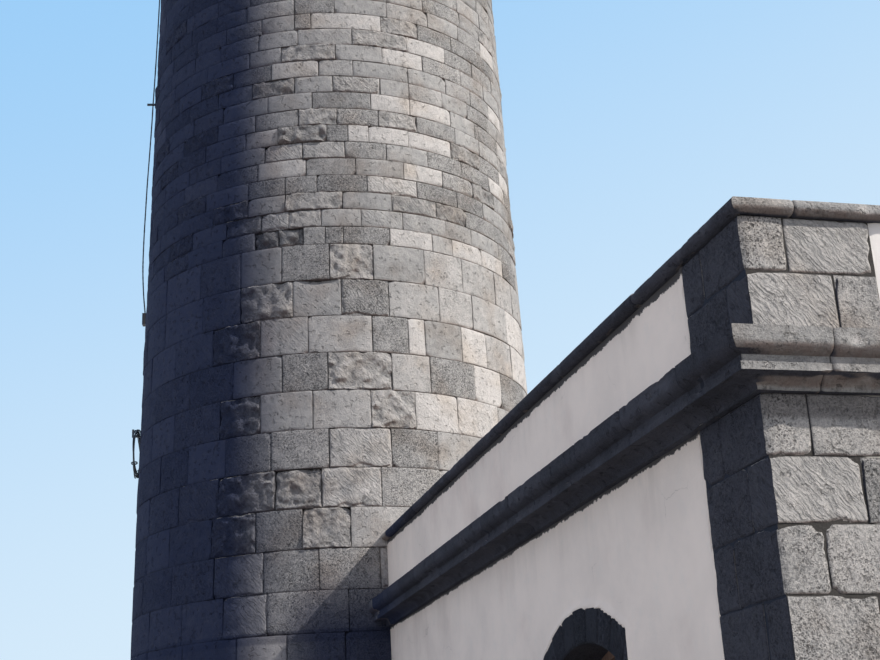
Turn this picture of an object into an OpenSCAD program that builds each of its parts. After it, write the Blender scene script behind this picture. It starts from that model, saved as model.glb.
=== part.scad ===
// Stone lighthouse: a round battered tower standing half inside the long front
// of a single-storey keepers' house with a flat, parapeted roof.
// Millimetres, +Z up, ground at z = 0. The origin is on the tower's axis at
// ground level. The house front faces -Y, and +X is right as seen from the front.

/* [Tower] */
// Radius of the shaft's face at ground level
tower_r = 3133; // [2800:1:3500]
// Lean of the shaft's face from upright, in degrees
batter_angle = 1.1687; // [0.6:0.0001:1.37]
// Radius of the hollow inside the shaft
bore_r = 1850; // [1500:10:1950]
// Height of the base course of tower and house
plinth_h = 458; // [380:1:560]
// Projection of the base course
plinth_out = 60; // [20:1:120]
// Chamfer along the top of the base course
plinth_chamfer = 30; // [10:1:50]
// Height of a tall course in the lower shaft
low_course = 538; // [480:1:560]
// Number of tall courses
low_courses = 16; // [14:1:18]
// Height of a thin course in the upper shaft
high_course = 269; // [240:1:280]
// Number of thin courses
high_courses = 65; // [58:1:70]

/* [Shaft doorway and windows] */
// Width of the doorway between house and shaft
shaft_door_w = 1000; // [800:10:1200]
// Height of that doorway above the floor, to the crown of its arch
shaft_door_h = 2200; // [2000:10:2400]
// Width of a shaft window
shaft_window_w = 560; // [400:10:700]
// Height of a shaft window
shaft_window_h = 1076; // [800:1:1300]
// Level of the lowest shaft window's sill
shaft_window_z = 7452; // [6200:1:8000]
// Rise from one shaft window to the next
shaft_window_step = 4842; // [3000:1:4900]
// Number of shaft windows, one above the other on the landward side
shaft_windows = 4; // [1:1:4]
// Depth of a shaft window's reveal at mid-width
shaft_reveal = 260; // [150:10:350]

/* [Tower head] */
// Height of the astragal round the top of the shaft
astragal_h = 120; // [80:5:160]
// Projection of the astragal
astragal_out = 70; // [40:5:100]
// Height of the plain frieze that carries the corbels
frieze_h = 620; // [500:10:760]
// Number of corbels
corbel_count = 24; // [16:1:28]
// Width of a corbel
corbel_w = 240; // [160:10:300]
// Height of a corbel
corbel_h = 460; // [360:10:480]
// Height of the corona course over the corbels
corona_h = 240; // [180:10:300]
// Projection of the corona course beyond the frieze
corona_out = 480; // [400:10:560]
// Thickness of the gallery floor
gallery_t = 200; // [150:10:260]
// Overhang of the gallery floor past the corona
gallery_nose = 60; // [20:5:100]
// Inset of the railing from the gallery's edge
rail_inset = 110; // [80:5:160]
// Height of the railing
rail_h = 1100; // [950:10:1200]
// Number of railing posts
rail_posts = 16; // [12:1:24]
// Side of a square railing bar
rail_bar = 40; // [30:1:50]
// Diameter of a railing post
rail_post_d = 60; // [50:1:80]
// Number of rails
rails = 4; // [3:1:5]

/* [Watch room and lantern] */
// Outer radius of the watch room
watch_r = 2050; // [1900:10:2150]
// Thickness of its wall
watch_wall = 380; // [300:10:420]
// Height of its wall
watch_h = 2250; // [2150:10:2500]
// Width of the door to the gallery
watch_door_w = 720; // [640:10:800]
// Height of that door
watch_door_h = 1900; // [1800:10:2000]
// Thickness of that door
watch_door_t = 60; // [40:5:80]
// Depth of that door behind the wall's face
watch_door_set = 150; // [90:10:200]
// Width of the raised border and middle band of that door
watch_door_band = 80; // [60:5:100]
// Height of that border over the door's plate, on both faces
watch_door_rise = 10; // [5:1:15]
// Thickness of the lantern floor
lantern_floor_t = 160; // [120:10:220]
// Overhang of the lantern floor past the watch room
lantern_nose = 260; // [150:10:350]
// Radius of the lantern over its corners
lantern_r = 1700; // [1500:10:1800]
// Number of sides of the lantern
lantern_sides = 12; // [12:1:12]
// Height of the plated wall under the glazing
lantern_base_h = 700; // [500:10:900]
// Thickness of that wall
lantern_base_t = 60; // [40:5:90]
// Height of the bands along the foot and head of that wall
base_band_h = 70; // [40:5:90]
// Projection of those bands
base_band_out = 25; // [10:1:40]
// Height of the glazing
glazing_h = 2200; // [1900:10:2500]
// Width of a glazing bar
glazing_bar = 70; // [50:5:90]
// Rows of panes, one above the other
pane_rows = 2; // [1:1:3]
// Thickness of the lantern's panes
pane_t = 12; // [8:1:16]
// Height of the gutter ring over the glazing
gutter_h = 180; // [140:10:240]
// Projection of the gutter
gutter_out = 200; // [120:10:260]
// Rise of the domed roof
dome_rise = 1050; // [850:10:1250]
// Thickness of the roof's plates
dome_t = 50; // [30:5:60]
// Width of a rib on the roof
rib_w = 50; // [40:5:70]
// Height of a rib over the plates
rib_out = 30; // [20:5:45]
// Radius of the vent ball
vent_r = 300; // [240:5:350]
// Radius of the neck under the ball
vent_neck_r = 170; // [140:5:200]
// Height of the neck under the ball
vent_neck_h = 260; // [200:5:320]
// Length of the rod over the ball
rod_l = 1300; // [900:10:1500]
// Diameter of the rod
rod_d = 40; // [30:1:50]

/* [House] */
// Distance of the front wall's face behind the tower's axis
front_y = 90; // [0:1:200]
// Length of the house over its corner stones
house_l = 27376; // [24800:2:30000]
// Depth of the house over its corner stones
house_d = 11416; // [10600:2:13000]
// Thickness of the walls
wall_t = 600; // [500:10:700]
// Level of the floors
floor_z = 300; // [200:10:350]
// Level of the cornice's underside
cornice_z = 3727; // [3600:1:3900]
// Width of the corner stonework on each face
quoin_w = 859; // [700:1:1000]
// How far the corner stonework stands out from the plaster
quoin_out = 15; // [5:1:30]
// Height of the parapet's wall
parapet_h = 787; // [600:1:900]
// Thickness of the parapet
parapet_t = 400; // [300:10:450]
// Height of the coping
coping_h = 112; // [90:1:140]
// Projection of the coping on both sides
coping_out = 74; // [50:1:100]
// Thickness of the roof slab
roof_t = 280; // [200:10:310]

/* [Cornice] */
// Height of the cove at the foot of the cornice
cove_h = 71; // [50:1:90]
// Projection of the cove
cove_out = 118; // [90:1:130]
// Height of the lower fascia
low_fascia_h = 53; // [40:1:70]
// Projection of the lower fascia
low_fascia_out = 214; // [180:1:220]
// Height of the quirk over the lower fascia
quirk_h = 40; // [20:1:60]
// Projection of the quirk
quirk_out = 198; // [170:1:210]
// Height of the ovolo
ovolo_h = 81; // [50:1:90]
// Height of the upper fascia
top_fascia_h = 77; // [60:1:90]
// Projection of the upper fascia
cornice_out = 273; // [260:1:300]

/* [House openings] */
// Clear width of a window
window_w = 1394; // [1100:2:1500]
// Level of a window's sill
sill_z = 850; // [700:10:1000]
// Level of the crown of a window's arch
crown_z = 2696; // [2500:1:2800]
// Radius of the arch's soffit
arch_r = 1527; // [1300:1:1900]
// Thickness of the arch's stones
arch_t = 271; // [220:1:300]
// Width of a jamb's stones
jamb_w = 279; // [220:1:320]
// Height of the sill stone
sill_h = 180; // [140:5:220]
// Projection of the sill stone
sill_out = 50; // [20:1:55]
// Distance from a corner of the house to the middle of the nearest window
window_inset = 3388; // [3000:1:3600]
// Distance between windows on the long walls
bay = 4640; // [3600:1:4800]
// Depth of the timber frames behind the wall's face
frame_set = 330; // [250:5:400]
// Width of the frames' timber
frame_w = 75; // [60:1:95]
// Depth of the frames' timber
frame_t = 90; // [70:1:110]
// Width of the bar between two casements
mullion_w = 100; // [80:1:120]
// Thickness of the window glass
glass_t = 8; // [6:1:12]
// Thickness of the entrance's door leaves
leaf_t = 56; // [45:1:65]
// Width of a leaf's stiles and rails
leaf_rail = 110; // [90:5:130]
// Height of a leaf's lock rail over the floor, to its middle
lock_rail_z = 1000; // [900:10:1100]
// Depth of a leaf's sunk panels, on both faces
panel_set = 15; // [5:1:18]
// Free edge left round a door leaf where it isn't hung
leaf_gap = 3; // [2:0.5:6]
// Width of the entrance steps
steps_w = 2300; // [2200:10:2800]
// Depth of one tread
tread = 320; // [280:10:360]

/* [Down conductor] */
// Diameter of the cable down the shaft
cable_d = 24; // [18:1:30]
// Direction from the axis in which the cable runs, in degrees from +X
cable_turn = -99.85; // [-120:0.01:-80]
// Thickness of a stand-off bracket's iron
bracket_t = 30; // [20:1:40]
// Level of the lowest bracket
bracket_z = 12853; // [11500:1:14000]
// Rise from one bracket to the next
bracket_step = 4100; // [3600:10:4200]
// Number of brackets
brackets = 4; // [1:1:4]
// Level of the middle of the clamp that ends the cable
clamp_z = 9040; // [9000:1:9100]
// Height of the clamp
clamp_h = 190; // [150:5:220]
// Width of the clamp
clamp_w = 110; // [80:5:130]
// Level of the hook that carries the spare coil
hook_z = 7240; // [7000:1:7400]
// Outer height of the spare coil
coil_d = 790; // [650:1:900]
// Thickness of the coil's bundle
coil_bundle = 96; // [70:1:110]
// Distance of the coil's middle from the shaft's face at the hook
coil_gap = 90; // [80:1:110]
// Reach of a bracket beyond the shaft's face
bracket_reach = 186; // [150:1:220]
// Reach of a clamp beyond the shaft's face
clamp_reach = 100; // [90:1:120]

/* [Hidden] */

$fn = 180;
// Overlap that lets a cut run past the face it opens
past = 10;
// Seat left between a hanging or clipped piece and what carries it
seat = 0.3;
// Step between a corbel's tip and the cove over it
corbel_step = 10;
// Play of the spare coil in its hook
hook_play = 10;

// Colours
basalt = "#6b6a6b";
basalt_pale = "#8b8884";
plaster = "#c2bbb6";
timber = "#6a4632";
iron = "#3c4247";
paint = "#d9d8d2";
copper = "#5d7a6c";
glass_tint = "#9db4bd";

// Levels of the tower
low_top = plinth_h + low_courses * low_course;
shaft_top = low_top + high_courses * high_course;
frieze_top = shaft_top + frieze_h;
gallery_z = frieze_top + corona_h;
watch_z = gallery_z + gallery_t;
watch_top = watch_z + watch_h;
lantern_z = watch_top + lantern_floor_t;
glazing_z = lantern_z + lantern_base_h;
gutter_z = glazing_z + glazing_h;
dome_z = gutter_z + gutter_h;

// Radius of the shaft's face at level z
function face_r(z) = tower_r - z * tan(batter_angle);
frieze_r = face_r(shaft_top);
corona_r = frieze_r + corona_out;
gallery_r = corona_r + gallery_nose;
railing_r = gallery_r - rail_inset;
lantern_floor_r = watch_r + lantern_nose;
// Distance from the axis to the middle of a lantern side, over that at its corners
flat_share = cos(180 / lantern_sides);
gutter_r = lantern_r + gutter_out;
dome_r = (pow(gutter_r, 2) + pow(dome_rise, 2)) / (2 * dome_rise);
// Clear width between two glazing bars, and rise from one ring of bars to the next
lantern_bay = 2 * (lantern_r - glazing_bar) * sin(180 / lantern_sides) - glazing_bar;
pane_step = (glazing_h - glazing_bar) / pane_rows;

// Levels and faces of the house
cornice_h = cove_h + low_fascia_h + quirk_h + ovolo_h + top_fascia_h;
parapet_z = cornice_z + cornice_h;
coping_z = parapet_z + parapet_h;
half_l = house_l / 2;
rear_y = front_y + house_d;
mid_y = front_y + house_d / 2;

// Arch of a window: centre level, and the heights at which its curves spring
arch_z = crown_z - arch_r;
jamb_half = window_w / 2 + jamb_w;

// Middles of the windows along the long and the end walls
long_middles = [for (side = [-1, 1]) for (k = [0, 1]) side * (half_l - window_inset - k * bay)];
end_middles = [front_y + window_inset, rear_y - window_inset];

// A frustum between two levels of the shaft's battered face
module battered(z0, z1) {
    translate([0, 0, z0]) cylinder(h = z1 - z0, r1 = face_r(z0), r2 = face_r(z1));
}

// The space that the tower takes up where it stands in the house
module tower_space() {
    union() {
        translate([0, 0, -past]) cylinder(h = plinth_h + past, r = tower_r + plinth_out);
        battered(plinth_h - past / 2, coping_z + coping_h + past);
    }
}

// A quarter of the shaft's wall between two levels, its middle turned from +X
module shaft_quarter(z0, z1, turn) {
    rotate([0, 0, turn - 45]) rotate_extrude(angle = 90)
        polygon([[bore_r, z0], [face_r(z0), z0], [face_r(z1), z1], [bore_r, z1]]);
}

// Outline of a segmental-arched opening: half width, foot level, arch radius
module arched(half, foot, r) {
    spring = arch_z + sqrt(pow(r, 2) - pow(half, 2));
    union() {
        translate([-half, foot]) square([2 * half, spring - foot]);
        intersection() {
            translate([0, arch_z]) circle(r = r);
            translate([-half, spring - past]) square([2 * half, r]);
        }
    }
}

// Outline of the opening itself, of the stones round it, and of a piece set in by some width
module opening_outline(foot, inset = 0) {
    arched(window_w / 2 - inset, foot + inset, arch_r - inset);
}
module stone_outline(foot) {
    arched(jamb_half, foot, arch_r + arch_t);
}

// Stands a flat outline upright: it faces -Y and runs from depth y0 to y1
module upright(y0, y1) {
    translate([0, y1, 0]) rotate([90, 0, 0]) linear_extrude(height = y1 - y0) children();
}

// Puts its children, made for a wall face at y = 0 looking to -Y, at each window
module at_front() {
    for (x = long_middles) translate([x, front_y, 0]) children();
}
module at_rear() {
    for (x = long_middles) translate([x, rear_y, 0]) rotate([0, 0, 180]) children();
}
module at_ends() {
    for (y = end_middles) {
        translate([half_l, y, 0]) rotate([0, 0, 90]) children();
        translate([-half_l, y, 0]) rotate([0, 0, -90]) children();
    }
}
module at_entrance() {
    translate([0, rear_y, 0]) rotate([0, 0, 180]) children();
}
module at_all_windows() {
    at_front() children();
    at_rear() children();
    at_ends() children();
}

// Stone surround of a window: jambs, arch and projecting sill through the wall's thickness
module surround() {
    union() {
        upright(0, wall_t) difference() {
            stone_outline(sill_z - sill_h);
            opening_outline(sill_z);
        }
        translate([-jamb_half, -sill_out, sill_z - sill_h])
            cube([2 * jamb_half, sill_out + past, sill_h]);
    }
}

// The hole that a surround fills in the wall
module surround_hole() {
    upright(-past, wall_t + past) stone_outline(sill_z - sill_h);
}

// Timber frame of a window with its mullion
module casement_frame() {
    upright(frame_set, frame_set + frame_t) union() {
        difference() {
            opening_outline(sill_z);
            opening_outline(sill_z, frame_w);
        }
        intersection() {
            opening_outline(sill_z, frame_w / 2);
            translate([-mullion_w / 2, sill_z]) square([mullion_w, crown_z - sill_z]);
        }
    }
}

// The two sheets of glass of a window
module casement_glass() {
    middle = frame_set + frame_t / 2;
    upright(middle - glass_t / 2, middle + glass_t / 2) difference() {
        opening_outline(sill_z, frame_w);
        translate([-mullion_w / 2, sill_z]) square([mullion_w, crown_z]);
    }
}

// A straight run of a moulding round the house: the outline's x is the distance out
// from the wall's face and its y the level. Both ends are mitred at the corners.
module mitred_run(run_l, reach_out, reach_in, z0, z1) {
    intersection() {
        rotate([90, 0, 90]) translate([0, 0, -run_l / 2 - reach_out])
            linear_extrude(height = run_l + 2 * reach_out) mirror([1, 0]) children();
        translate([0, 0, z0 - past]) linear_extrude(height = z1 - z0 + 2 * past)
            polygon([[-run_l / 2 - reach_out, -reach_out], [run_l / 2 + reach_out, -reach_out],
                     [run_l / 2 - reach_in, reach_in], [-run_l / 2 + reach_in, reach_in]]);
    }
}

// The runs along the front and rear, and those along the two ends
module long_runs(reach_out, reach_in, z0, z1) {
    translate([0, front_y, 0]) mitred_run(house_l, reach_out, reach_in, z0, z1) children();
    translate([0, rear_y, 0]) rotate([0, 0, 180])
        mitred_run(house_l, reach_out, reach_in, z0, z1) children();
}
module end_runs(reach_out, reach_in, z0, z1) {
    for (side = [-1, 1]) translate([side * half_l, mid_y, 0]) rotate([0, 0, side * 90])
        mitred_run(house_d, reach_out, reach_in, z0, z1) children();
}

// Outlines of the mouldings, x out from the wall's face and y up
module plinth_outline() {
    polygon([[-wall_t, 0], [plinth_out, 0], [plinth_out, plinth_h - plinth_chamfer],
             [plinth_out - plinth_chamfer, plinth_h], [-wall_t, plinth_h]]);
}
module cornice_outline() {
    z1 = cornice_z + cove_h;
    z2 = z1 + low_fascia_h;
    z3 = z2 + quirk_h;
    z4 = z3 + ovolo_h;
    ovolo_out = cornice_out - quirk_out;
    difference() {
        union() {
            polygon([[-parapet_t, cornice_z], [0, cornice_z], [cove_out, z1], [low_fascia_out, z1],
                     [low_fascia_out, z2], [quirk_out, z2], [quirk_out, z3], [cornice_out, z4],
                     [cornice_out, parapet_z], [-parapet_t, parapet_z]]);
            intersection() {
                translate([quirk_out, z4]) circle(r = ovolo_out);
                translate([quirk_out - past, z4 - ovolo_out]) square([ovolo_out + past, ovolo_out]);
            }
        }
        translate([cove_out, cornice_z]) circle(r = min(cove_h, cove_out));
    }
}
module coping_outline() {
    nose = coping_h / 2;
    union() {
        translate([-parapet_t - coping_out + nose, coping_z])
            square([parapet_t + 2 * (coping_out - nose), coping_h]);
        for (x = [-parapet_t - coping_out + nose, coping_out - nose])
            translate([x, coping_z + nose]) circle(r = nose);
    }
}

// Corner stonework: an L on plan at each corner of the house
module corner_piers(z0, z1, thick) {
    for (sx = [-1, 1]) for (sy = [-1, 1])
        translate([sx * half_l, mid_y + sy * house_d / 2, z0]) mirror([sx > 0 ? 1 : 0, 0])
            mirror([0, sy > 0 ? 1 : 0]) linear_extrude(height = z1 - z0)
                polygon([[0, 0], [quoin_w, 0], [quoin_w, thick], [thick, thick],
                         [thick, quoin_w], [0, quoin_w]]);
}

// Walls between the corner stones: along the front and rear, and across the ends
module long_wall(y, facing, z0, z1, thick) {
    translate([0, y, z0]) rotate([0, 0, facing])
        translate([-half_l + quoin_w, quoin_out, 0])
            cube([house_l - 2 * quoin_w, thick - quoin_out, z1 - z0]);
}
module end_wall_pair(z0, z1, thick) {
    for (side = [-1, 1]) translate([side * half_l, mid_y, z0]) rotate([0, 0, side * 90])
        translate([-house_d / 2 + quoin_w, quoin_out, 0])
            cube([house_d - 2 * quoin_w, thick - quoin_out, z1 - z0]);
}

// Tower: base and shaft
module tower_plinth() {
    color(basalt) difference() {
        rotate_extrude() polygon([[bore_r, 0], [tower_r + plinth_out, 0],
            [tower_r + plinth_out, plinth_h - plinth_chamfer],
            [tower_r + plinth_out - plinth_chamfer, plinth_h], [bore_r, plinth_h]]);
        shaft_doorway();
    }
}
module tower_floor() {
    color(basalt) cylinder(h = floor_z, r = bore_r);
}
module shaft_doorway() {
    translate([0, 0, floor_z]) upright(bore_r / 2, tower_r + 2 * plinth_out) union() {
        translate([-shaft_door_w / 2, 0]) square([shaft_door_w, shaft_door_h - shaft_door_w / 2]);
        translate([0, shaft_door_h - shaft_door_w / 2]) circle(d = shaft_door_w);
    }
}
module shaft_window_space() {
    for (k = [0 : shaft_windows - 1])
        translate([-shaft_window_w / 2, bore_r / 2, shaft_window_z + k * shaft_window_step])
            cube([shaft_window_w, tower_r, shaft_window_h]);
}
module lower_shaft_right() { color(basalt) shaft_quarter(plinth_h, low_top, 0); }
module lower_shaft_rear() {
    color(basalt) difference() {
        shaft_quarter(plinth_h, low_top, 90);
        shaft_doorway();
        shaft_window_space();
    }
}
module lower_shaft_left() { color(basalt) shaft_quarter(plinth_h, low_top, 180); }
module lower_shaft_front() { color(basalt) shaft_quarter(plinth_h, low_top, 270); }
module upper_shaft_right() { color(basalt_pale) shaft_quarter(low_top, shaft_top, 0); }
module upper_shaft_rear() {
    color(basalt_pale) difference() {
        shaft_quarter(low_top, shaft_top, 90);
        shaft_window_space();
    }
}
module upper_shaft_left() { color(basalt_pale) shaft_quarter(low_top, shaft_top, 180); }
module upper_shaft_front() { color(basalt_pale) shaft_quarter(low_top, shaft_top, 270); }

// Timber sash in each shaft window, closed behind its bars
module shaft_window_frames() {
    color(timber) for (k = [0 : shaft_windows - 1]) {
        z = shaft_window_z + k * shaft_window_step;
        outer_y = face_r(z + shaft_window_h) - shaft_reveal;
        translate([-shaft_window_w / 2, outer_y - frame_t, z]) difference() {
            cube([shaft_window_w, frame_t, shaft_window_h]);
            for (row = [0, 1])
                translate([frame_w, -past, frame_w + row * (shaft_window_h - frame_w) / 2])
                    cube([shaft_window_w - 2 * frame_w, frame_t / 2 + past,
                          (shaft_window_h - 3 * frame_w) / 2]);
        }
    }
}

// Tower head: astragal, frieze and corona in one ring of stone
module gallery_cornice() {
    color(basalt) rotate_extrude() difference() {
        union() {
            translate([bore_r, shaft_top]) square([frieze_r - bore_r, gallery_z - shaft_top]);
            translate([bore_r, frieze_top]) square([corona_r - bore_r, corona_h]);
            translate([frieze_r, shaft_top + astragal_h / 2]) circle(r = min(astragal_out, astragal_h / 2));
        }
        translate([corona_r, frieze_top]) circle(r = corona_h / 3);
    }
}
module gallery_corbels() {
    reach = corona_out - corona_h / 3 - corbel_step;
    color(basalt) for (k = [0 : corbel_count - 1]) rotate([0, 0, (k + 0.5) * 360 / corbel_count])
        difference() {
            translate([0, corbel_w / 2, frieze_top - corbel_h]) rotate([90, 0, 0])
                linear_extrude(height = corbel_w) union() {
                    translate([bore_r, corbel_h * 2 / 3]) square([frieze_r - bore_r + reach, corbel_h / 3]);
                    intersection() {
                        translate([bore_r, 0]) square([frieze_r - bore_r + reach, corbel_h]);
                        translate([frieze_r + reach - corbel_h, corbel_h]) circle(r = corbel_h);
                    }
                }
            cylinder(h = frieze_top + past, r = frieze_r);
        }
}
module gallery_floor() {
    color(basalt) translate([0, 0, gallery_z]) cylinder(h = gallery_t, r = gallery_r);
}
module gallery_railing() {
    color(iron) union() {
        for (k = [0 : rail_posts - 1]) rotate([0, 0, (k + 0.5) * 360 / rail_posts])
            translate([railing_r, 0, watch_z]) cylinder(h = rail_h, d = rail_post_d, $fn = 24);
        for (k = [1 : rails]) translate([0, 0, watch_z + rail_h * k / rails - rail_bar])
            rotate_extrude() translate([railing_r - rail_bar / 2, 0]) square(rail_bar);
    }
}

// Watch room
module watch_doorway() {
    translate([-watch_door_w / 2, 0, watch_z]) cube([watch_door_w, watch_r + past, watch_door_h]);
}
module watch_room_wall() {
    color(paint) difference() {
        translate([0, 0, watch_z]) cylinder(h = watch_h, r = watch_r);
        translate([0, 0, watch_z - past]) cylinder(h = watch_h + 2 * past, r = watch_r - watch_wall);
        watch_doorway();
    }
}
module watch_room_door() {
    door_y = sqrt(pow(watch_r, 2) - pow(watch_door_w / 2, 2)) - watch_door_set;
    field = [watch_door_w - 2 * watch_door_band, watch_door_rise + past,
             (watch_door_h - 3 * watch_door_band) / 2];
    color(iron) translate([-watch_door_w / 2, door_y - watch_door_t, watch_z]) difference() {
        cube([watch_door_w, watch_door_t, watch_door_h]);
        for (y = [-past, watch_door_t - watch_door_rise]) for (row = [0, 1])
            translate([watch_door_band, y, watch_door_band + row * (field[2] + watch_door_band)])
                cube(field);
    }
}

// Lantern: floor, plated base, glazing bars, panes, roof and finial
module lantern_prism(r, z, h) {
    translate([0, 0, z]) rotate([0, 0, 180 / lantern_sides]) cylinder(h = h, r = r, $fn = lantern_sides);
}
module lantern_floor() {
    color(paint) translate([0, 0, watch_top]) cylinder(h = lantern_floor_t, r = lantern_floor_r);
}
module lantern_base() {
    color(paint) difference() {
        union() {
            lantern_prism(lantern_r, lantern_z, lantern_base_h);
            for (z = [lantern_z, glazing_z - base_band_h])
                lantern_prism(lantern_r + base_band_out, z, base_band_h);
        }
        lantern_prism(lantern_r - lantern_base_t, lantern_z - past, lantern_base_h + 2 * past);
    }
}
module lantern_frame() {
    inner_r = lantern_r - glazing_bar;
    color(paint) union() {
        for (row = [0 : pane_rows]) translate([0, 0, row * pane_step]) difference() {
            lantern_prism(lantern_r, glazing_z, glazing_bar);
            lantern_prism(inner_r, glazing_z - past, glazing_bar + 2 * past);
        }
        difference() {
            lantern_prism(lantern_r, glazing_z, glazing_h);
            lantern_prism(inner_r, glazing_z - past, glazing_h + 2 * past);
            for (k = [0 : lantern_sides - 1]) rotate([0, 0, k * 360 / lantern_sides])
                translate([0, -lantern_bay / 2, glazing_z - past])
                    cube([lantern_r + past, lantern_bay, glazing_h + 2 * past]);
        }
    }
}
module lantern_glass() {
    middle = (lantern_r - glazing_bar / 2) * flat_share;
    color(glass_tint) for (k = [0 : lantern_sides - 1]) rotate([0, 0, k * 360 / lantern_sides])
        for (row = [0 : pane_rows - 1])
            translate([middle - pane_t / 2, -lantern_bay / 2, glazing_z + glazing_bar + row * pane_step])
                cube([pane_t, lantern_bay, pane_step - glazing_bar]);
}
module dome_outline(r, shrink) {
    intersection() {
        translate([0, dome_z + dome_rise - dome_r]) circle(r = dome_r - shrink);
        translate([0, dome_z]) square([r, dome_rise]);
    }
}
module lantern_roof() {
    color(copper) union() {
        rotate_extrude() difference() {
            union() {
                translate([lantern_r * flat_share - lantern_base_t, gutter_z])
                    square([gutter_r - lantern_r * flat_share + lantern_base_t, gutter_h]);
                dome_outline(gutter_r, 0);
            }
            dome_outline(gutter_r, dome_t);
            translate([gutter_r, gutter_z]) circle(r = gutter_h / 2);
        }
        for (k = [0 : lantern_sides - 1]) rotate([0, 0, (k + 0.5) * 360 / lantern_sides])
            translate([0, rib_w / 2, 0]) rotate([90, 0, 0]) linear_extrude(height = rib_w)
                difference() {
                    dome_outline(gutter_r, -rib_out);
                    dome_outline(gutter_r, dome_t / 2);
                    translate([0, dome_z]) square([vent_neck_r, 2 * dome_rise]);
                }
    }
}
module roof_finial() {
    top = dome_z + dome_rise;
    ball_z = top + vent_neck_h + vent_r;
    color(copper) rotate_extrude() difference() {
        union() {
            translate([0, top - dome_rise / 2])
                square([vent_neck_r, dome_rise / 2 + vent_neck_h + vent_r / 2]);
            intersection() {
                translate([0, ball_z]) circle(r = vent_r);
                translate([0, ball_z - vent_r]) square([vent_r, 2 * vent_r]);
            }
            translate([0, ball_z]) square([rod_d / 2, vent_r + rod_l]);
        }
        dome_outline(gutter_r, 0);
    }
}

// House: base course, floor, walls and corner stones
module entrance_gap() {
    translate([-jamb_half, rear_y - wall_t - past, -past])
        cube([2 * jamb_half, wall_t + plinth_out + 2 * past, plinth_h + 2 * past]);
}
module plinth_long() {
    color(basalt) difference() {
        long_runs(plinth_out, wall_t, 0, plinth_h) plinth_outline();
        tower_space();
        entrance_gap();
    }
}
module plinth_ends() {
    color(basalt) end_runs(plinth_out, wall_t, 0, plinth_h) plinth_outline();
}
module house_floor() {
    color(basalt_pale) difference() {
        translate([-half_l + wall_t, front_y + wall_t, 0])
            cube([house_l - 2 * wall_t, house_d - 2 * wall_t, floor_z]);
        tower_space();
    }
}
module front_wall() {
    color(plaster) difference() {
        long_wall(front_y, 0, plinth_h, cornice_z, wall_t);
        tower_space();
        at_front() surround_hole();
    }
}
module rear_wall() {
    color(plaster) difference() {
        long_wall(rear_y, 180, plinth_h, cornice_z, wall_t);
        at_rear() surround_hole();
        at_entrance() upright(-past, wall_t + past) stone_outline(0);
    }
}
module end_walls() {
    color(plaster) difference() {
        end_wall_pair(plinth_h, cornice_z, wall_t);
        at_ends() surround_hole();
    }
}
module corner_stones() {
    color(basalt) {
        corner_piers(plinth_h, cornice_z, wall_t);
        corner_piers(parapet_z, coping_z, parapet_t);
    }
}

// Windows and entrance
module window_surrounds() { color(basalt) at_all_windows() surround(); }
module window_frames() { color(timber) at_all_windows() casement_frame(); }
module window_glass() { color(glass_tint) at_all_windows() casement_glass(); }
module entrance_surround() {
    color(basalt) at_entrance() upright(0, wall_t) difference() {
        stone_outline(0);
        opening_outline(floor_z);
    }
}
// Outline of the right-hand leaf, and of its two sunk panels
module leaf_outline() {
    intersection() {
        opening_outline(floor_z);
        translate([leaf_gap / 2, floor_z + leaf_gap]) square([window_w / 2 - leaf_gap / 2, crown_z]);
    }
}
module panel_outlines() {
    inner_x = leaf_gap / 2 + leaf_rail;
    rail_z = floor_z + lock_rail_z - leaf_rail / 2;
    difference() {
        opening_outline(floor_z, leaf_rail);
        translate([inner_x - window_w, floor_z]) square([window_w, crown_z]);
        translate([-window_w / 2, rail_z]) square([window_w, leaf_rail]);
    }
}
module entrance_door() {
    color(timber) at_entrance() for (side = [0, 1]) mirror([side, 0]) difference() {
        upright(frame_set, frame_set + leaf_t) leaf_outline();
        upright(frame_set - past, frame_set + panel_set) panel_outlines();
        upright(frame_set + leaf_t - panel_set, frame_set + leaf_t + past) panel_outlines();
    }
}
module entrance_steps() {
    color(basalt_pale) at_entrance() union() {
        translate([-steps_w / 2, -2 * tread, 0]) cube([steps_w, 2 * tread, floor_z / 2]);
        translate([-steps_w / 2, -tread, 0]) cube([steps_w, tread, floor_z]);
    }
}

// Roof: slab, cornice, parapet and coping
module roof_slab() {
    color(basalt_pale) difference() {
        translate([-half_l + parapet_t, front_y + parapet_t, cornice_z])
            cube([house_l - 2 * parapet_t, house_d - 2 * parapet_t, roof_t]);
        tower_space();
    }
}
module cornice_long() {
    color(basalt_pale) difference() {
        long_runs(cornice_out, parapet_t, cornice_z, parapet_z) cornice_outline();
        tower_space();
    }
}
module cornice_ends() {
    color(basalt_pale) end_runs(cornice_out, parapet_t, cornice_z, parapet_z) cornice_outline();
}
module parapet_long() {
    color(plaster) difference() {
        union() {
            long_wall(front_y, 0, parapet_z, coping_z, parapet_t);
            long_wall(rear_y, 180, parapet_z, coping_z, parapet_t);
        }
        tower_space();
    }
}
module parapet_ends() { color(plaster) end_wall_pair(parapet_z, coping_z, parapet_t); }
module coping_long() {
    color(basalt) difference() {
        long_runs(coping_out, parapet_t + coping_out, coping_z, coping_z + coping_h) coping_outline();
        tower_space();
    }
}
module coping_ends() {
    color(basalt) end_runs(coping_out, parapet_t + coping_out, coping_z, coping_z + coping_h)
        coping_outline();
}

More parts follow.
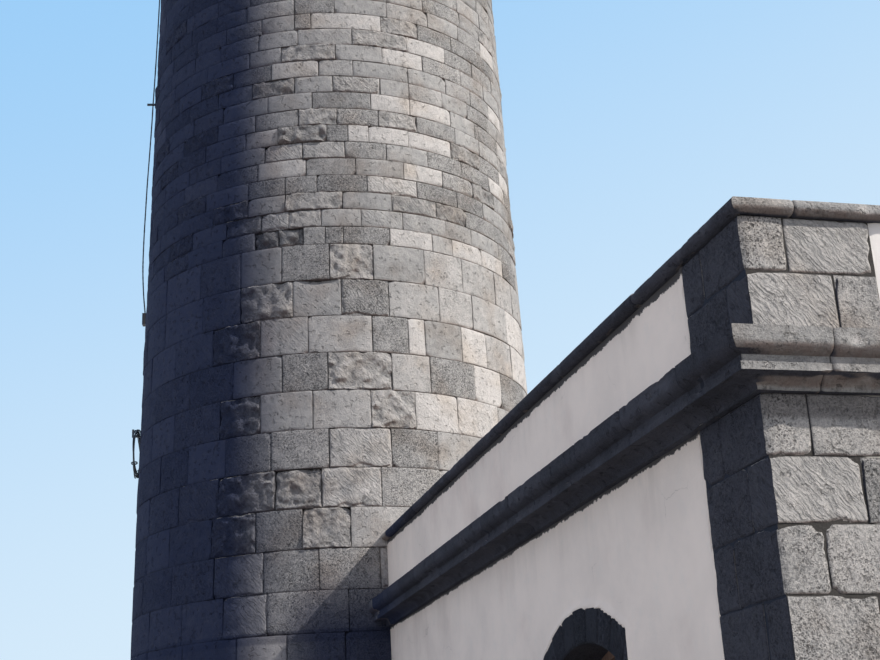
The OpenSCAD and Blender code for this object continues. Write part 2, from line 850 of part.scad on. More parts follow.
// Down conductor. Its route is a list of [level, distance of the cable's middle from the shaft's face].
cable_route = [
    [9130, 62], [9250, 78], [9500, 106], [9900, 133], [10400, 139], [10900, 134],
    [11400, 128], [12000, 112], [12500, 100], [12853, 95], [13200, 88], [13800, 78],
    [14600, 70], [15500, 67], [16300, 78], [16953, 85], [17400, 84], [18200, 76],
    [19200, 71], [20100, 77], [20600, 83], [21053, 87], [21500, 86], [22300, 79],
    [23300, 72], [24200, 79], [24700, 83], [25153, 88], [25500, 79], [25800, 65]
];
cable_sides = 8;
function ring_at(stop) = [for (s = [0 : cable_sides - 1]) let (turn = s * 360 / cable_sides)
    [face_r(stop[0]) + stop[1] + cable_d / 2 * cos(turn), cable_d / 2 * sin(turn), stop[0]]];
module conductor_cable() {
    last = len(cable_route) - 1;
    points = [for (stop = cable_route) each ring_at(stop)];
    skin = [for (i = [0 : last - 1]) for (s = [0 : cable_sides - 1])
        let (t = (s + 1) % cable_sides, low = i * cable_sides, high = low + cable_sides)
        each [[low + s, high + s, high + t], [low + s, high + t, low + t]]];
    foot = [for (s = [0 : cable_sides - 1]) s];
    head = [for (s = [cable_sides - 1 : -1 : 0]) last * cable_sides + s];
    color(iron) rotate([0, 0, cable_turn]) polyhedron(points, concat([foot, head], skin));
}

// Iron arms beside the cable, the clamps at its two ends, and the hook of the spare coil
module conductor_brackets() {
    top_z = cable_route[len(cable_route) - 1][0];
    hook_tip = face_r(hook_z) + coil_gap + coil_bundle / 2 + hook_play + bracket_t;
    hook_foot = hook_z - coil_bundle - seat - bracket_t;
    color(iron) rotate([0, 0, cable_turn]) difference() {
        union() {
            for (k = [0 : brackets - 1]) {
                z = bracket_z + k * bracket_step;
                translate([bore_r, cable_d / 2 + seat, z - bracket_t / 2])
                    cube([face_r(z) - bore_r + bracket_reach, bracket_t, bracket_t]);
            }
            translate([bore_r, -clamp_w / 2, clamp_z - clamp_h / 2])
                cube([face_r(clamp_z) - bore_r + clamp_reach, clamp_w, clamp_h]);
            translate([bore_r, -clamp_w / 2, top_z])
                cube([face_r(top_z) - bore_r + clamp_reach, clamp_w, clamp_h]);
            translate([bore_r, -bracket_t / 2, hook_foot]) cube([hook_tip - bore_r, bracket_t, bracket_t]);
            translate([hook_tip - bracket_t, -bracket_t / 2, hook_foot])
                cube([bracket_t, bracket_t, coil_bundle + bracket_t]);
        }
        battered(plinth_h, shaft_top);
    }
}
module spare_coil() {
    ring_r = (coil_d - coil_bundle) / 2;
    color(iron) rotate([0, 0, cable_turn])
        translate([face_r(hook_z) + coil_gap, 0, hook_z - coil_d / 2]) rotate([0, 90, 0])
            rotate_extrude() translate([ring_r, 0]) circle(d = coil_bundle);
}

tower_plinth();
tower_floor();
lower_shaft_right();
lower_shaft_rear();
lower_shaft_left();
lower_shaft_front();
upper_shaft_right();
upper_shaft_rear();
upper_shaft_left();
upper_shaft_front();
shaft_window_frames();
gallery_cornice();
gallery_corbels();
gallery_floor();
gallery_railing();
watch_room_wall();
watch_room_door();
lantern_floor();
lantern_base();
lantern_frame();
lantern_glass();
lantern_roof();
roof_finial();
plinth_long();
plinth_ends();
house_floor();
front_wall();
rear_wall();
end_walls();
corner_stones();
window_surrounds();
window_frames();
window_glass();
entrance_surround();
entrance_door();
entrance_steps();
roof_slab();
cornice_long();
cornice_ends();
parapet_long();
parapet_ends();
coping_long();
coping_ends();
conductor_cable();
conductor_brackets();
spare_coil();
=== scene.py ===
from functools import partial

import bpy
import numpy as np
from bpy.props import FloatProperty, FloatVectorProperty, IntProperty, PointerProperty
from mathutils import Matrix, Vector


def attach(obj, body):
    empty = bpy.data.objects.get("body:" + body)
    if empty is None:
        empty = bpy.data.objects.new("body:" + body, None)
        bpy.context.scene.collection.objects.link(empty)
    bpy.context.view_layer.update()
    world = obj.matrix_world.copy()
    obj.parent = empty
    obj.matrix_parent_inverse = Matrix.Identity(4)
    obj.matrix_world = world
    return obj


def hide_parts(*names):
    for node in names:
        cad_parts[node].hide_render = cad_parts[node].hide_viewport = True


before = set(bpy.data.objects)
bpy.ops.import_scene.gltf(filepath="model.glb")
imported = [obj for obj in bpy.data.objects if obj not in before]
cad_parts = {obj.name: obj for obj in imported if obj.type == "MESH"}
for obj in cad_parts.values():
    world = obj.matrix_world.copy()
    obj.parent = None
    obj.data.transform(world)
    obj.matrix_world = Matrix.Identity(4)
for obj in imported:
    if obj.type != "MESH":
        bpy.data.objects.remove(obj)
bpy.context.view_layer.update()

bl_info = {
    "name": "Stone lighthouse",
    "version": (1, 0, 0),
    "blender": (4, 5, 0),
    "location": "3D View > Sidebar > Lighthouse",
    "description": "Masonry, plaster, joinery and ironwork of a battered stone lighthouse and its house",
    "category": "Object",
}


def linear(code):
    """Turns an sRGB hex colour into linear red, green and blue: the standard curve, channel by channel."""
    part = np.array([int(code[i:i + 2], 16) for i in (1, 3, 5)]) / 255
    curved = np.where(part <= 0.04045, part / 12.92, ((part + 0.055) / 1.055) ** 2.4)
    return tuple(float(value) for value in curved)


def colour(title, text, code):
    return FloatVectorProperty(name=title, description=text, default=linear(code), subtype="COLOR",
                               size=3, min=0, max=1)


def length(title, text, value):
    return FloatProperty(name=title, description=text, default=value, min=0, unit="LENGTH")


class MasonrySizes(bpy.types.PropertyGroup):
    shaft_r: length("Shaft radius", "Radius of the shaft's face at ground level", 3.133)
    batter: FloatProperty(name="Batter", description="Lean of the shaft's face, metres for each metre",
                          default=0.0204)
    well_r: length("Well", "Radius of the shaft's well", 1.85)
    base_h: length("Base course", "Height of the base course", 0.458)
    tall: length("Tall course", "Height of a course in the lower shaft", 0.538)
    tall_count: IntProperty(name="Tall courses", description="Courses in the lower shaft", default=16)
    thin: length("Thin course", "Height of a course in the upper shaft", 0.269)
    thin_count: IntProperty(name="Thin courses", description="Courses in the upper shaft", default=65)
    joint: length("Joint", "Width of the open joint between two stones", 0.007)
    proud: length("Proud", "How far a stone's face stands out from the joints", 0.012)
    window_w: length("Shaft window", "Width of a shaft window", 0.56)
    window_h: length("Window height", "Height of a shaft window", 1.076)
    window_z: length("First sill", "Level of the lowest shaft window", 7.452)
    window_step: length("Window rise", "Rise from one shaft window to the next", 4.842)
    window_count: IntProperty(name="Shaft windows", description="Windows of the shaft", default=4)


class HouseSizes(bpy.types.PropertyGroup):
    half_l: length("Half length", "Half of the house's length over its corner stones", 13.688)
    front_y: length("Front", "Distance of the front wall's face behind the tower's axis", 0.09)
    rear_y: length("Rear", "Distance of the rear wall's face behind the tower's axis", 11.506)
    quoin_w: length("Corner stones", "Width of the corner stonework on each face", 0.859)
    quoin_out: length("Corner step", "How far the corner stonework stands out from the plaster", 0.015)
    cornice_z: length("Cornice level", "Level of the cornice's underside", 3.727)
    parapet_z: length("Parapet level", "Level of the cornice's top", 4.049)
    coping_z: length("Coping level", "Level of the coping's underside", 4.836)
    coping_h: length("Coping", "Height of the coping", 0.112)
    coping_out: length("Coping nose", "Projection of the coping on both sides", 0.074)
    parapet_t: length("Parapet", "Thickness of the parapet", 0.4)
    window_first: length("First window", "Distance of a window's middle from the corner of the house", 3.388)
    window_next: length("Second window", "The same for the second window on the long walls", 8.028)
    window_half: length("Opening half", "Half of a window's clear width", 0.697)
    stone_half: length("Surround half", "Half width of a window over its jamb stones", 0.976)
    sill_z: length("Sill level", "Level of a window's sill", 0.85)
    sill_h: length("Sill stone", "Height of the sill stone", 0.18)
    arch_z: length("Arch centre", "Level of the arch's centre", 1.169)
    arch_r: length("Arch radius", "Radius of the arch's soffit", 1.527)
    arch_t: length("Arch stones", "Thickness of the arch's stones", 0.271)
    door_z: length("Doorstep", "Level of the foot of the entrance's jamb stones", 0.31)
    plaster_t: length("Plaster", "Thickness of the last coat of plaster", 0.008)


class HeadSizes(bpy.types.PropertyGroup):
    shaft_top: length("Shaft top", "Level of the shaft's top", 26.551)
    frieze_foot: length("Frieze", "Level of the frieze's foot, over the astragal", 26.671)
    frieze_top: length("Corona", "Level of the corona's underside", 27.171)
    gallery_z: length("Gallery", "Level of the gallery floor's underside", 27.411)
    gallery_out: length("Gallery edge", "Projection of the gallery floor past the shaft's top", 0.54)
    watch_z: length("Watch room", "Level of the gallery floor's top", 27.611)
    watch_r: length("Watch room radius", "Outer radius of the watch room", 2.05)
    posts: IntProperty(name="Posts", description="Posts of the railing", default=16)
    rail_h: length("Railing", "Height of the railing's top over the feet of its posts", 1.093)
    lantern_z: length("Lantern", "Level of the lantern floor's top", 30.021)
    lantern_r: length("Lantern radius", "Radius of the lantern over its corners", 1.7)
    base_h: length("Lantern base", "Height of the plated wall under the glazing", 0.7)
    glazing_h: length("Glazing", "Height of the lantern's glazing", 2.2)
    glazing_bar: length("Lantern bar", "Width of the bars between the lantern's panes", 0.07)
    sides: IntProperty(name="Sides", description="Sides of the lantern", default=12)
    rivet: length("Rivet", "Diameter of a rivet's head", 0.022)
    dome_r: length("Dome radius", "Radius of the dome at its foot", 1.9)
    dome_rise: length("Dome", "Rise of the dome", 1.05)
    gutter_h: length("Gutter", "Height from the glazing's top to the dome's foot", 0.18)


class JoinerySizes(bpy.types.PropertyGroup):
    frame_set: length("Frame depth", "Depth of the timber frames behind the wall's face", 0.33)
    frame_w: length("Frame", "Width of the frames' timber", 0.075)
    frame_t: length("Frame timber", "Depth of the frames' timber", 0.09)
    mullion: length("Mullion", "Width of the bar between two casements", 0.1)
    sash: length("Sash", "Width of a casement's own rails", 0.045)
    bar: length("Glazing bar", "Width of a glazing bar", 0.024)
    strap: length("Strap", "Length of a strap hinge", 0.46)
    door_w: length("Iron door", "Half width of the watch room's doorway", 0.36)
    door_set: length("Iron door depth", "Depth of the watch room's door in its round wall", 0.15)


class Colours(bpy.types.PropertyGroup):
    basalt_dark: colour("Dark basalt", "Dense dark basalt", "#5d5c5c")
    basalt_mid: colour("Basalt", "Weathered grey basalt", "#a19f9c")
    basalt_pale: colour("Pale basalt", "Dusty and lime-stained faces", "#d6d0ca")
    # Painted shade: the near-black blue painted on the stonework that faces away from the sun
    painted_shade: colour("Crust", "Damp black crust of the seaward faces", "#1c2642")
    mortar: colour("Joint", "Perished joints in deep shade", "#2b2927")
    # The front wall's cream, bright enough to read pale in shade; lime_plaster paints the sunlit walls darker
    # copies
    plaster: colour("Plaster", "Lime plaster, washed cream", "#fbeee2")
    plaster_stain: colour("Plaster stain", "Run-off stains on the plaster", "#a79c90")
    limewash: colour("Limewash", "Limewash of the watch room", "#cdc8bd")
    timber: colour("Timber", "Oiled timber", "#846a5c")
    paint: colour("Paint", "Paint on the lantern's iron", "#cfd0cb")
    verdigris: colour("Verdigris", "Weathered sheet copper", "#6f9484")
    iron: colour("Iron", "Wrought iron under worn paint", "#34373b")
    zinc: colour("Zinc", "Galvanised cable", "#4c5157")
    ground: colour("Floor", "Plain pale floor", "#bfbdb9")
    horizon: colour("Horizon", "Plain pale background, low down", "#d8ecfb")
    sky: colour("Background", "Plain pale background, overhead", "#98ccf8")


GROUPS = {"masonry_sizes": MasonrySizes, "house_sizes": HouseSizes, "head_sizes": HeadSizes,
          "joinery_sizes": JoinerySizes, "finish_colours": Colours}


def settings_of(name):
    return getattr(bpy.context.scene, name)


masonry, house, head, joinery, tints = (partial(settings_of, name) for name in GROUPS)


# Repeatable noise

def lattice(x, y, z, seed):
    """A fixed value from 0 to 1 at each whole-numbered point: its numbers times primes, their bits mixed."""
    mix = (x.astype(np.uint32) * np.uint32(374761393) + y.astype(np.uint32) * np.uint32(668265263)
           + z.astype(np.uint32) * np.uint32(2246822519) + np.uint32(seed * 2654435 % 4294967291))
    mix = (mix ^ (mix >> np.uint32(13))) * np.uint32(1274126177)
    mix = (mix ^ (mix >> np.uint32(15))) * np.uint32(2246822519)
    return ((mix ^ (mix >> np.uint32(16))) & np.uint32(0xFFFF)) / 65535.0


def noise(x, y, z, seed):
    """Smooth noise from -1 to 1: the eight lattice values round a point, blended by 3t^2 - 2t^3 by axis."""
    x, y, z = np.broadcast_arrays(x, y, z)
    low = [np.floor(a).astype(np.int64) for a in (x, y, z)]
    part = [a - b for a, b in zip((x, y, z), low)]
    part = [t * t * (3 - 2 * t) for t in part]
    total = 0
    for corner in np.ndindex(2, 2, 2):
        share = 1
        for far, t in zip(corner, part):
            share = share * (t if far else 1 - t)
        total = total + share * lattice(*(a + far for a, far in zip(low, corner)), seed)
    return 2 * total - 1


def rough(x, y, z, seed, octaves=4):
    """Fractal noise: each octave is twice as fine and a little over half as strong as the one before."""
    total, weight = 0, 0
    for octave in range(octaves):
        fine, share = 2 ** octave, 0.55 ** octave
        total = total + noise(x * fine, y * fine, z + 7.3 * octave, seed + octave) * share
        weight += share
    return total / weight


def ramp(value, low, high):
    """Rises smoothly from 0 at low to 1 at high."""
    t = np.clip((value - low) / (high - low), 0, 1)
    return t * t * (3 - 2 * t)


# Directions and rows of points

UP = np.array([0, 0, 1.0])


def rows_of(*fields):
    """Fields of one shape, or ones that stretch to it, as the columns of a table."""
    return np.stack(np.broadcast_arrays(*fields), -1).reshape(-1, len(fields))


def unit(rows):
    """Directions brought to a length of one."""
    return rows / np.maximum(np.linalg.norm(rows, axis=-1, keepdims=True), 1e-9)


def even_turns(count):
    """Angles of even steps round a circle."""
    return np.arange(count) * 2 * np.pi / count


def directions(turn):
    """Outward and sideways directions at an angle round the tower's axis."""
    out = np.stack([np.cos(turn), np.sin(turn), 0 * turn], -1)
    return out, np.stack([-np.sin(turn), np.cos(turn), 0 * turn], -1)


def round_spot(turn, away, aside, level):
    """A point away from the tower's axis at an angle round it, moved aside and up to a level."""
    out, way = directions(turn)
    away, aside, level = (np.asarray(value, float)[..., None] for value in (away, aside, level))
    return away * out + aside * way + level * UP


# Meshes. A part holds its points, the point numbers of all faces in a row (corners), where each face starts
# in that row, and for each point the four traits of its stone and two wall coordinates (flat)

def make_part(points, faces, flat=None, traits=None):
    """One part. Traits that aren't given are all a half, and its wall coordinates are then x and z."""
    points = points.reshape(-1, 3)
    return {"points": points, "corners": faces[0], "starts": faces[1],
            "traits": np.full((len(points), 4), 0.5) if traits is None else traits,
            "flat": points[:, [0, 2]] if flat is None else flat}


def repeat_part(points, faces, flat=None, traits=None):
    """Copies of one small solid: points holds a row of points for each copy, and the faces are shared."""
    corners, starts = faces
    order = np.arange(len(points))[:, None]
    faces = (corners + order * points.shape[1]).ravel(), (starts + order * len(corners)).ravel()
    return make_part(points, faces, flat, traits)


def join_parts(parts):
    """Stacks parts into one, with their faces numbered on."""
    whole = {key: [] for key in parts[0]}
    first_point, first_corner = 0, 0
    for part in parts:
        shift = {"corners": first_point, "starts": first_corner}
        for key, rows in part.items():
            whole[key].append(rows + shift.get(key, 0))
        first_point += len(part["points"])
        first_corner += len(part["corners"])
    return {key: np.concatenate(rows) for key, rows in whole.items()}


def lay_piece(name, parts, finish, replaced=(), sharp=48):
    """Makes one piece of the parts. Edges that turn by more than sharp degrees stay hard."""
    part = join_parts(parts)
    mesh = bpy.data.meshes.new(name)
    for rows, key, values, kind in ((mesh.vertices, "co", part["points"], np.float32),
                                    (mesh.loops, "vertex_index", part["corners"], np.int32),
                                    (mesh.polygons, "loop_start", part["starts"], np.int32)):
        rows.add(len(values))
        rows.foreach_set(key, np.ascontiguousarray(values, kind).ravel())
    mesh.update(calc_edges=True)
    layer = mesh.color_attributes.new(name="stone", type="FLOAT_COLOR", domain="POINT")
    layer.data.foreach_set("color", np.ascontiguousarray(part["traits"], np.float32).ravel())
    layer = mesh.uv_layers.new(name="wall")
    layer.data.foreach_set("uv", np.ascontiguousarray(part["flat"][part["corners"]], np.float32).ravel())
    mesh.validate()
    mesh.shade_smooth()
    mesh.set_sharp_from_angle(angle=np.radians(sharp))
    mesh.materials.append(material(finish))
    piece = bpy.data.objects.new(name, mesh)
    bpy.context.scene.collection.objects.link(piece)
    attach(piece, "root")
    if replaced:
        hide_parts(*replaced)


def cells(grid):
    """The four points of every cell in a grid of point numbers."""
    return np.stack([grid[:-1, :-1], grid[:-1, 1:], grid[1:, 1:], grid[1:, :-1]], -1)


def ring_faces(rings, around, closed=False):
    """Faces of a row of rings of points, each joined to the next. Either both ends get a face, or the last
    ring is joined to the first."""
    grid = np.arange(rings * around).reshape(rings, around)
    grid = np.append(grid, grid[:, :1], 1)
    if closed:
        sides = cells(np.append(grid, grid[:1], 0)).ravel()
        return sides, np.arange(0, len(sides), 4)
    sides = cells(grid).ravel()
    corners = np.concatenate([sides, grid[0, -2::-1], grid[-1, :-1]])
    return corners, np.append(np.arange(0, len(sides) + 1, 4), len(sides) + around)


def shell_faces(across, up):
    """Faces of one closed stone: a grid in front, a skirt round its rim and one face behind."""
    grid = np.arange((across + 1) * (up + 1)).reshape(up + 1, across + 1)
    rim = np.concatenate([grid[0, :-1], grid[:-1, -1], grid[-1, :0:-1], grid[:0:-1, 0]])
    ring = grid.size + np.arange(len(rim))
    skirt = np.stack([rim, ring, np.roll(ring, -1), np.roll(rim, -1)], -1)
    sides = np.concatenate([cells(grid).ravel(), skirt.ravel()])
    return (np.append(sides, ring[::-1]), np.arange(0, len(sides) + 1, 4)), rim


# Stones

def gathered(parts, pull):
    """Shares from 0 to 1 in even steps t, gathered at both ends: t - pull * sin(2 pi t) / (2 pi)."""
    t = np.linspace(0, 1, parts + 1)
    return t - pull * np.sin(2 * np.pi * t) / (2 * np.pi)


# Broken corners of a stone: whether each is at the stone's end, and at its head
CHIPS = {"chip_a": (0, 1), "chip_b": (1, 1), "chip_c": (0, 0), "chip_d": (1, 0)}
# Width of the rim that the material dirties, and how far a face may lie behind the wall's, in stone depths
DIRTY_RIM, DEEPEST = 0.022, 0.8


def stone_shells(rects, kinds, place, across, up, depth, seed, edge_pull=0.62):
    """Closed stones on a wall. rects holds each stone's start, end, foot and head on the wall, inside its
    joints; kinds its traits; place turns distance along, level and distance out into points.
    A stone's face is: proud + two tilts + a cushion (1-(2u-1)^2)(1-(2v-1)^2) + fractal relief, less a
    rounded, spalled rim (rim * q^2, q falling from 1 at the edge), less its broken corners and dents."""
    count = len(rects)
    u, v = gathered(across, edge_pull)[None, None, :], gathered(up, edge_pull)[None, :, None]
    along0, along1, foot, head = [rects[:, i][:, None, None] for i in range(4)]
    kind = {key: value[:, None, None] for key, value in kinds.items()}
    serial = (np.arange(count) * 3.71 + seed)[:, None, None]
    along, level = along0 + (along1 - along0) * u + 0 * v, foot + (head - foot) * v + 0 * u
    edge = np.minimum(np.minimum(along - along0, along1 - along), np.minimum(level - foot, head - level))
    shift_s = kind["wander"] * noise(along * 2.5, level * 11, serial, seed + 1)
    shift_h = kind["wander"] * noise(along * 9, level * 2.5, serial + 50, seed + 2)
    relief = rough(along * kind["scale"], level * kind["scale"], serial, seed + 3)
    ridge = 1 - 2 * np.abs(noise(along * 5.5, level * 8, serial, seed + 9))
    steps = rough(along * 6 + 0.8 * level, level * 8, serial, seed + 12, 3) * 5
    terrace = (np.floor(steps) + ramp(steps - np.floor(steps), 0.62, 0.95)) / 5
    bite = np.maximum(rough(along * 4.5, level * 4.5, serial, seed + 5, 3), 0)
    q = np.clip(1 - (edge - kind["spall"] * bite) / kind["rim"], 0, 1.6)
    out = (kind["proud"] + kind["tilt_s"] * (u - 0.5) + kind["tilt_h"] * (v - 0.5)
           + kind["cushion"] * (1 - (2 * u - 1) ** 2) * (1 - (2 * v - 1) ** 2)
           + kind["relief"] * (relief + kind["broken"] * (0.35 * ridge + 0.9 * terrace))
           - kind["rim"] * 0.62 * np.minimum(q, 1) ** 2 - 0.012 * np.maximum(q - 1, 0))
    for name, (at_end, at_head) in CHIPS.items():
        away = np.hypot(along - (along1 if at_end else along0), (level - (head if at_head else foot)) * 1.3)
        out = out - 0.55 * np.maximum(kind[name] - away * (1 + 0.35 * relief), 0)
    scallop = np.hypot((u - kind["dent_u"]) * (along1 - along0) * 0.75, (level - head) * 1.9)
    out = out - 0.32 * np.maximum(kind["dent"] - scallop * (1 + 0.3 * relief), 0)
    pale = (kind["tone"] + 0.10 * relief + 0.35 * kind["broken"] * (0.4 * relief + terrace)
            + 0.16 * np.clip(q, 0, 1) * (bite > 0.12) * kind["fresh"])
    faces, rim = shell_faces(across, up)

    def with_rim(field):
        field = np.broadcast_to(field, (count, up + 1, across + 1)).reshape(count, -1)
        return np.concatenate([field, field[:, rim]], 1)

    s, h = with_rim(along + shift_s), with_rim(level + shift_h)
    d = with_rim(np.maximum(out, -DEEPEST * depth))
    d[:, (across + 1) * (up + 1):] = -depth
    dirt = np.clip(1 - edge / DIRTY_RIM, 0, 1)
    traits = [with_rim(field) for field in (pale, kind["pits"], dirt, kind["tool"])]
    return repeat_part(np.stack(place(s, h, d), -1), faces, rows_of(s, h), rows_of(*traits))


COMMON = dict(proud=0.0, tilt_s=0.0, tilt_h=0.0, cushion=0.003, relief=0.0025, scale=9.0, broken=0.0,
              rim=0.008, spall=0.02, wander=0.0025, tone=0.45, pits=0.5, tool=0.2, fresh=1.0,
              chip_a=0.0, chip_b=0.0, chip_c=0.0, chip_d=0.0, dent=0.0, dent_u=0.5)
# What a mason would call each state of a face, and how it differs from the common one
STATES = {
    "hewn": dict(relief=0.040, scale=9, broken=1.0, rim=0.020, spall=0.05, pits=0.3, tone=0.6, tool=2.0),
    "hewn_pale": dict(relief=0.034, scale=10, broken=1.0, rim=0.014, spall=0.04, tone=0.74, pits=0.1,
                      tool=2.0),
    "pale": dict(relief=0.002, tone=0.80, pits=0.25),
    "smooth": dict(relief=0.0012, spall=0.008, tone=0.50, pits=0.12),
    "smooth_dark": dict(relief=0.0014, spall=0.01, tone=0.37, pits=0.1),
    "dark_pitted": dict(relief=0.004, scale=14, tone=0.38, pits=1.0),
    "pitted": dict(relief=0.004, scale=14, tone=0.5, pits=1.0),
    "vesicular": dict(relief=0.0055, scale=16, tone=0.78, pits=1.0, tool=0.0),
    "mottled": dict(relief=0.005, scale=12, tone=0.8, pits=0.55, tool=0.3),
    "tooled": dict(relief=0.004, scale=9, tone=0.78, pits=0.25, tool=1.0),
    "beige": dict(relief=0.0015, tone=0.58, pits=0.3),
    "chipped": dict(relief=0.012, scale=6, spall=0.09, tone=0.64, rim=0.02, tool=1.4),
    "scalloped": dict(relief=0.003, dent=0.24, dent_u=0.52, tone=0.42),
    "sunken": dict(relief=0.038, scale=9, broken=1.0, proud=-0.016, rim=0.040, spall=0.06, chip_a=0.09,
                   chip_b=0.13, tone=0.62, pits=0.2, tool=2.0),
    "worn_corners": dict(relief=0.036, scale=8, broken=0.8, chip_a=0.14, chip_b=0.17, chip_d=0.05, rim=0.02,
                         tone=0.68, pits=0.2, tool=2.0),
    "lost": dict(relief=0.034, scale=10, broken=1.0, proud=-0.026, rim=0.03, spall=0.06, tone=0.36, tool=2.0),
}


def common_kinds(count, rng, seen):
    """Seeded traits of common ashlar: most faces nearly flat, some hewn, pale or pitted. The share of hewn
    ones grows with seen."""
    kind = {key: np.full(count, value) for key, value in COMMON.items()}
    kind.update(proud=rng.normal(0, 0.0028, count), tilt_s=rng.normal(0, 0.0035, count),
                tilt_h=rng.normal(0, 0.0035, count), cushion=rng.uniform(0, 0.007, count),
                relief=0.0015 + 0.004 * rng.random(count) ** 2, scale=rng.uniform(7, 14, count),
                rim=rng.uniform(0.005, 0.010, count), spall=0.010 + 0.055 * rng.random(count) ** 3,
                tone=np.clip(rng.normal(0.47, 0.055, count), 0.1, 0.9), pits=rng.random(count) ** 1.5,
                tool=rng.random(count))
    for name in CHIPS:
        kind[name] = np.where(rng.random(count) < 0.22, rng.uniform(0.02, 0.085, count), 0)
    draw = rng.random(count)
    for state, low, high in (("hewn", 0, 0.06 * seen), ("hewn_pale", 0.06, 0.06 + 0.05 * seen),
                             ("pale", 0.12, 0.19), ("dark_pitted", 0.2, 0.27), ("smooth", 0.3, 0.38),
                             ("chipped", 0.4, 0.45), ("beige", 0.5, 0.58)):
        set_state(kind, (draw >= low) & (draw < high), state)
    return kind


def set_state(kind, where, state):
    """Gives the picked stones the traits of a state."""
    for key, value in STATES[state].items():
        kind[key] = np.where(where, value, kind[key])


def limit_chips(kind, most):
    """Keeps the broken corners of fine work small."""
    for name in CHIPS:
        kind[name] = np.minimum(kind[name], most)


def split_span(low, high, block, rng):
    """Ends of the blocks, each varied by a fifth, that fill the stretch from low to high."""
    parts = max(1, int(round((high - low) / block)))
    share = rng.uniform(0.8, 1.2, parts)
    return list(low + (high - low) * np.cumsum(share) / share.sum())


# Shaft

# Upright joints that show, in degrees round the shaft from +X: tall courses, counted from the ground
TALL_JOINTS = {
    16: (-36, -24, -11, 1, 16, 29, 44, 56), 15: (-36, -21, -8, 5, 20, 32, 49),
    14: (-30, -17, 0, 10, 15, 27, 37, 51), 13: (-38, -24, -12, 5, 16, 31, 43),
    12: (-42, -30, -16, -1, 11, 24, 40), 11: (-40, -27, -12, 4, 17, 32),
    10: (-42, -26, -14, 1, 17), 9: (-44, -31, -19, -7, 9), 8: (-43, -29, -15, 0), 7: (-40, -28, -8, 6),
    6: (-36, -23, -9, 4),
}
# The same for the lowest thin courses
THIN_JOINTS = {
    1: (-32, -25, -18, -12, -7, 6, 19, 26, 38, 50), 2: (-30, -22, -13, -2, 10, 24, 34),
    3: (-34, -23, -7, 7, 21), 4: (-23, -14, 0, 15, 29), 5: (-31, -17, -3, 11, 24), 6: (-29, -18, -6, 6, 19),
    7: (-35, -25, -11, -5, 1, 13), 8: (-32, -19, -8, 4, 16), 9: (-28, -15, 2, 14), 10: (-33, -20, -9, 5, 14),
    11: (-27, -13, -3, 14),
    12: (-34, -24, -8, 6), 13: (-31, -19, -3, 14), 14: (-30, -20, -15, 6, 18), 15: (-35, -20, -8, 8),
}
# States of single stones: course from the ground, a direction inside the stone, its state
TALL_MARKS = {
    16: {-6: "hewn_pale", -17: "dark_pitted", 8: "smooth_dark", 22: "beige", -30: "smooth_dark"},
    15: {-14: "scalloped", -2: "dark_pitted", 12: "smooth", 26: "beige"},
    14: {12: "pale", 32: "pale", -8: "beige", 5: "dark_pitted", 21: "smooth_dark"},
    13: {-31: "smooth_dark", -18: "dark_pitted", -4: "hewn_pale", 10: "beige", 23: "dark_pitted", 37: "pale"},
    12: {-8: "beige", 5: "hewn_pale", -22: "smooth", -36: "hewn", 17: "pale", 32: "tooled"},
    11: {-8: "chipped", 10: "dark_pitted", -20: "pitted", -34: "dark_pitted"},
    10: {-34: "hewn", -20: "sunken", -7: "chipped", 9: "pitted", -61: "pale"},
    9: {-37: "hewn", -25: "dark_pitted", -13: "worn_corners", 1: "beige", 16: "pale"},
    8: {-36: "chipped", -22: "dark_pitted", -8: "pitted", 6: "chipped"},
    7: {-18: "pitted", -59: "pale"},
}
THIN_MARKS = {
    1: {-28: "lost", -21: "lost", 12: "pale", 32: "pale", 0: "dark_pitted"},
    2: {4: "smooth", -26: "chipped"}, 3: {14: "beige"}, 4: {8: "pale"}, 6: {-12: "chipped"}, 7: {-22: "hewn"},
    9: {8: "pale", 25: "pale"}, 10: {-3: "chipped"}, 12: {-16: "hewn_pale", 10: "pale"}, 14: {-12: "pale"},
}
# Distance along a round wall for each radian round the axis, and for each degree
WRAP = 3.0
DEGREE = WRAP * np.pi / 180
# Directions, in degrees, between which the house hides the shaft, and the level up to which it does
INDOORS, ROOF_Z = (9, 171), 4.02
# Directions and levels between which the shaft's stones have fine faces
FINE_TURNS, FINE_LEVELS = (-92, 72), (1.9, 13.7)
# On both sides of +X the shaft's core is set back behind its stones: as many degrees, and as far
CORE_TURN, CORE_BACK = 45, 0.055


def round_wall(along, level, reach):
    """A point of a round wall, reach away from the axis: the distance along is an angle times WRAP."""
    return reach * np.cos(along / WRAP), reach * np.sin(along / WRAP), level


def shaft_face(level):
    """Radius of the shaft's face: it falls by the batter with the level."""
    return masonry().shaft_r - masonry().batter * level


def course_joints(foot, head, given, block, rng):
    """Stones of one course right round the shaft, from joint to joint in degrees: the given joints, then
    blocks of about one length to close the circle. A window's sides are joints with no stone between."""
    window = None
    size = masonry()
    for number in range(size.window_count):
        sill = size.window_z + number * size.window_step
        if foot > sill - 0.01 and head < sill + size.window_h + 0.01:
            half = np.degrees(np.arcsin(size.window_w / 2 / shaft_face(head)))
            window = (90 - half, 90 + half)
    step = np.degrees(block / shaft_face((foot + head) / 2))
    joints = list(given) if given else [-40 + rng.uniform(0, step)]
    gaps = [(joints[-1], joints[0] + 360)]
    if window:
        gaps = [(joints[-1], window[0]), (window[1], joints[0] + 360)]
        joints.append(window[1])
    for low, high in gaps:
        joints += split_span(low, high, step, rng)
    joints = np.array(sorted({round(float(joint), 4) for joint in joints}))
    starts, ends = joints[:-1], joints[1:]
    if window:
        keep = ~((starts > window[0] - 0.1) & (ends < window[1] + 0.1))
        starts, ends = starts[keep], ends[keep]
    return zip(starts, ends)


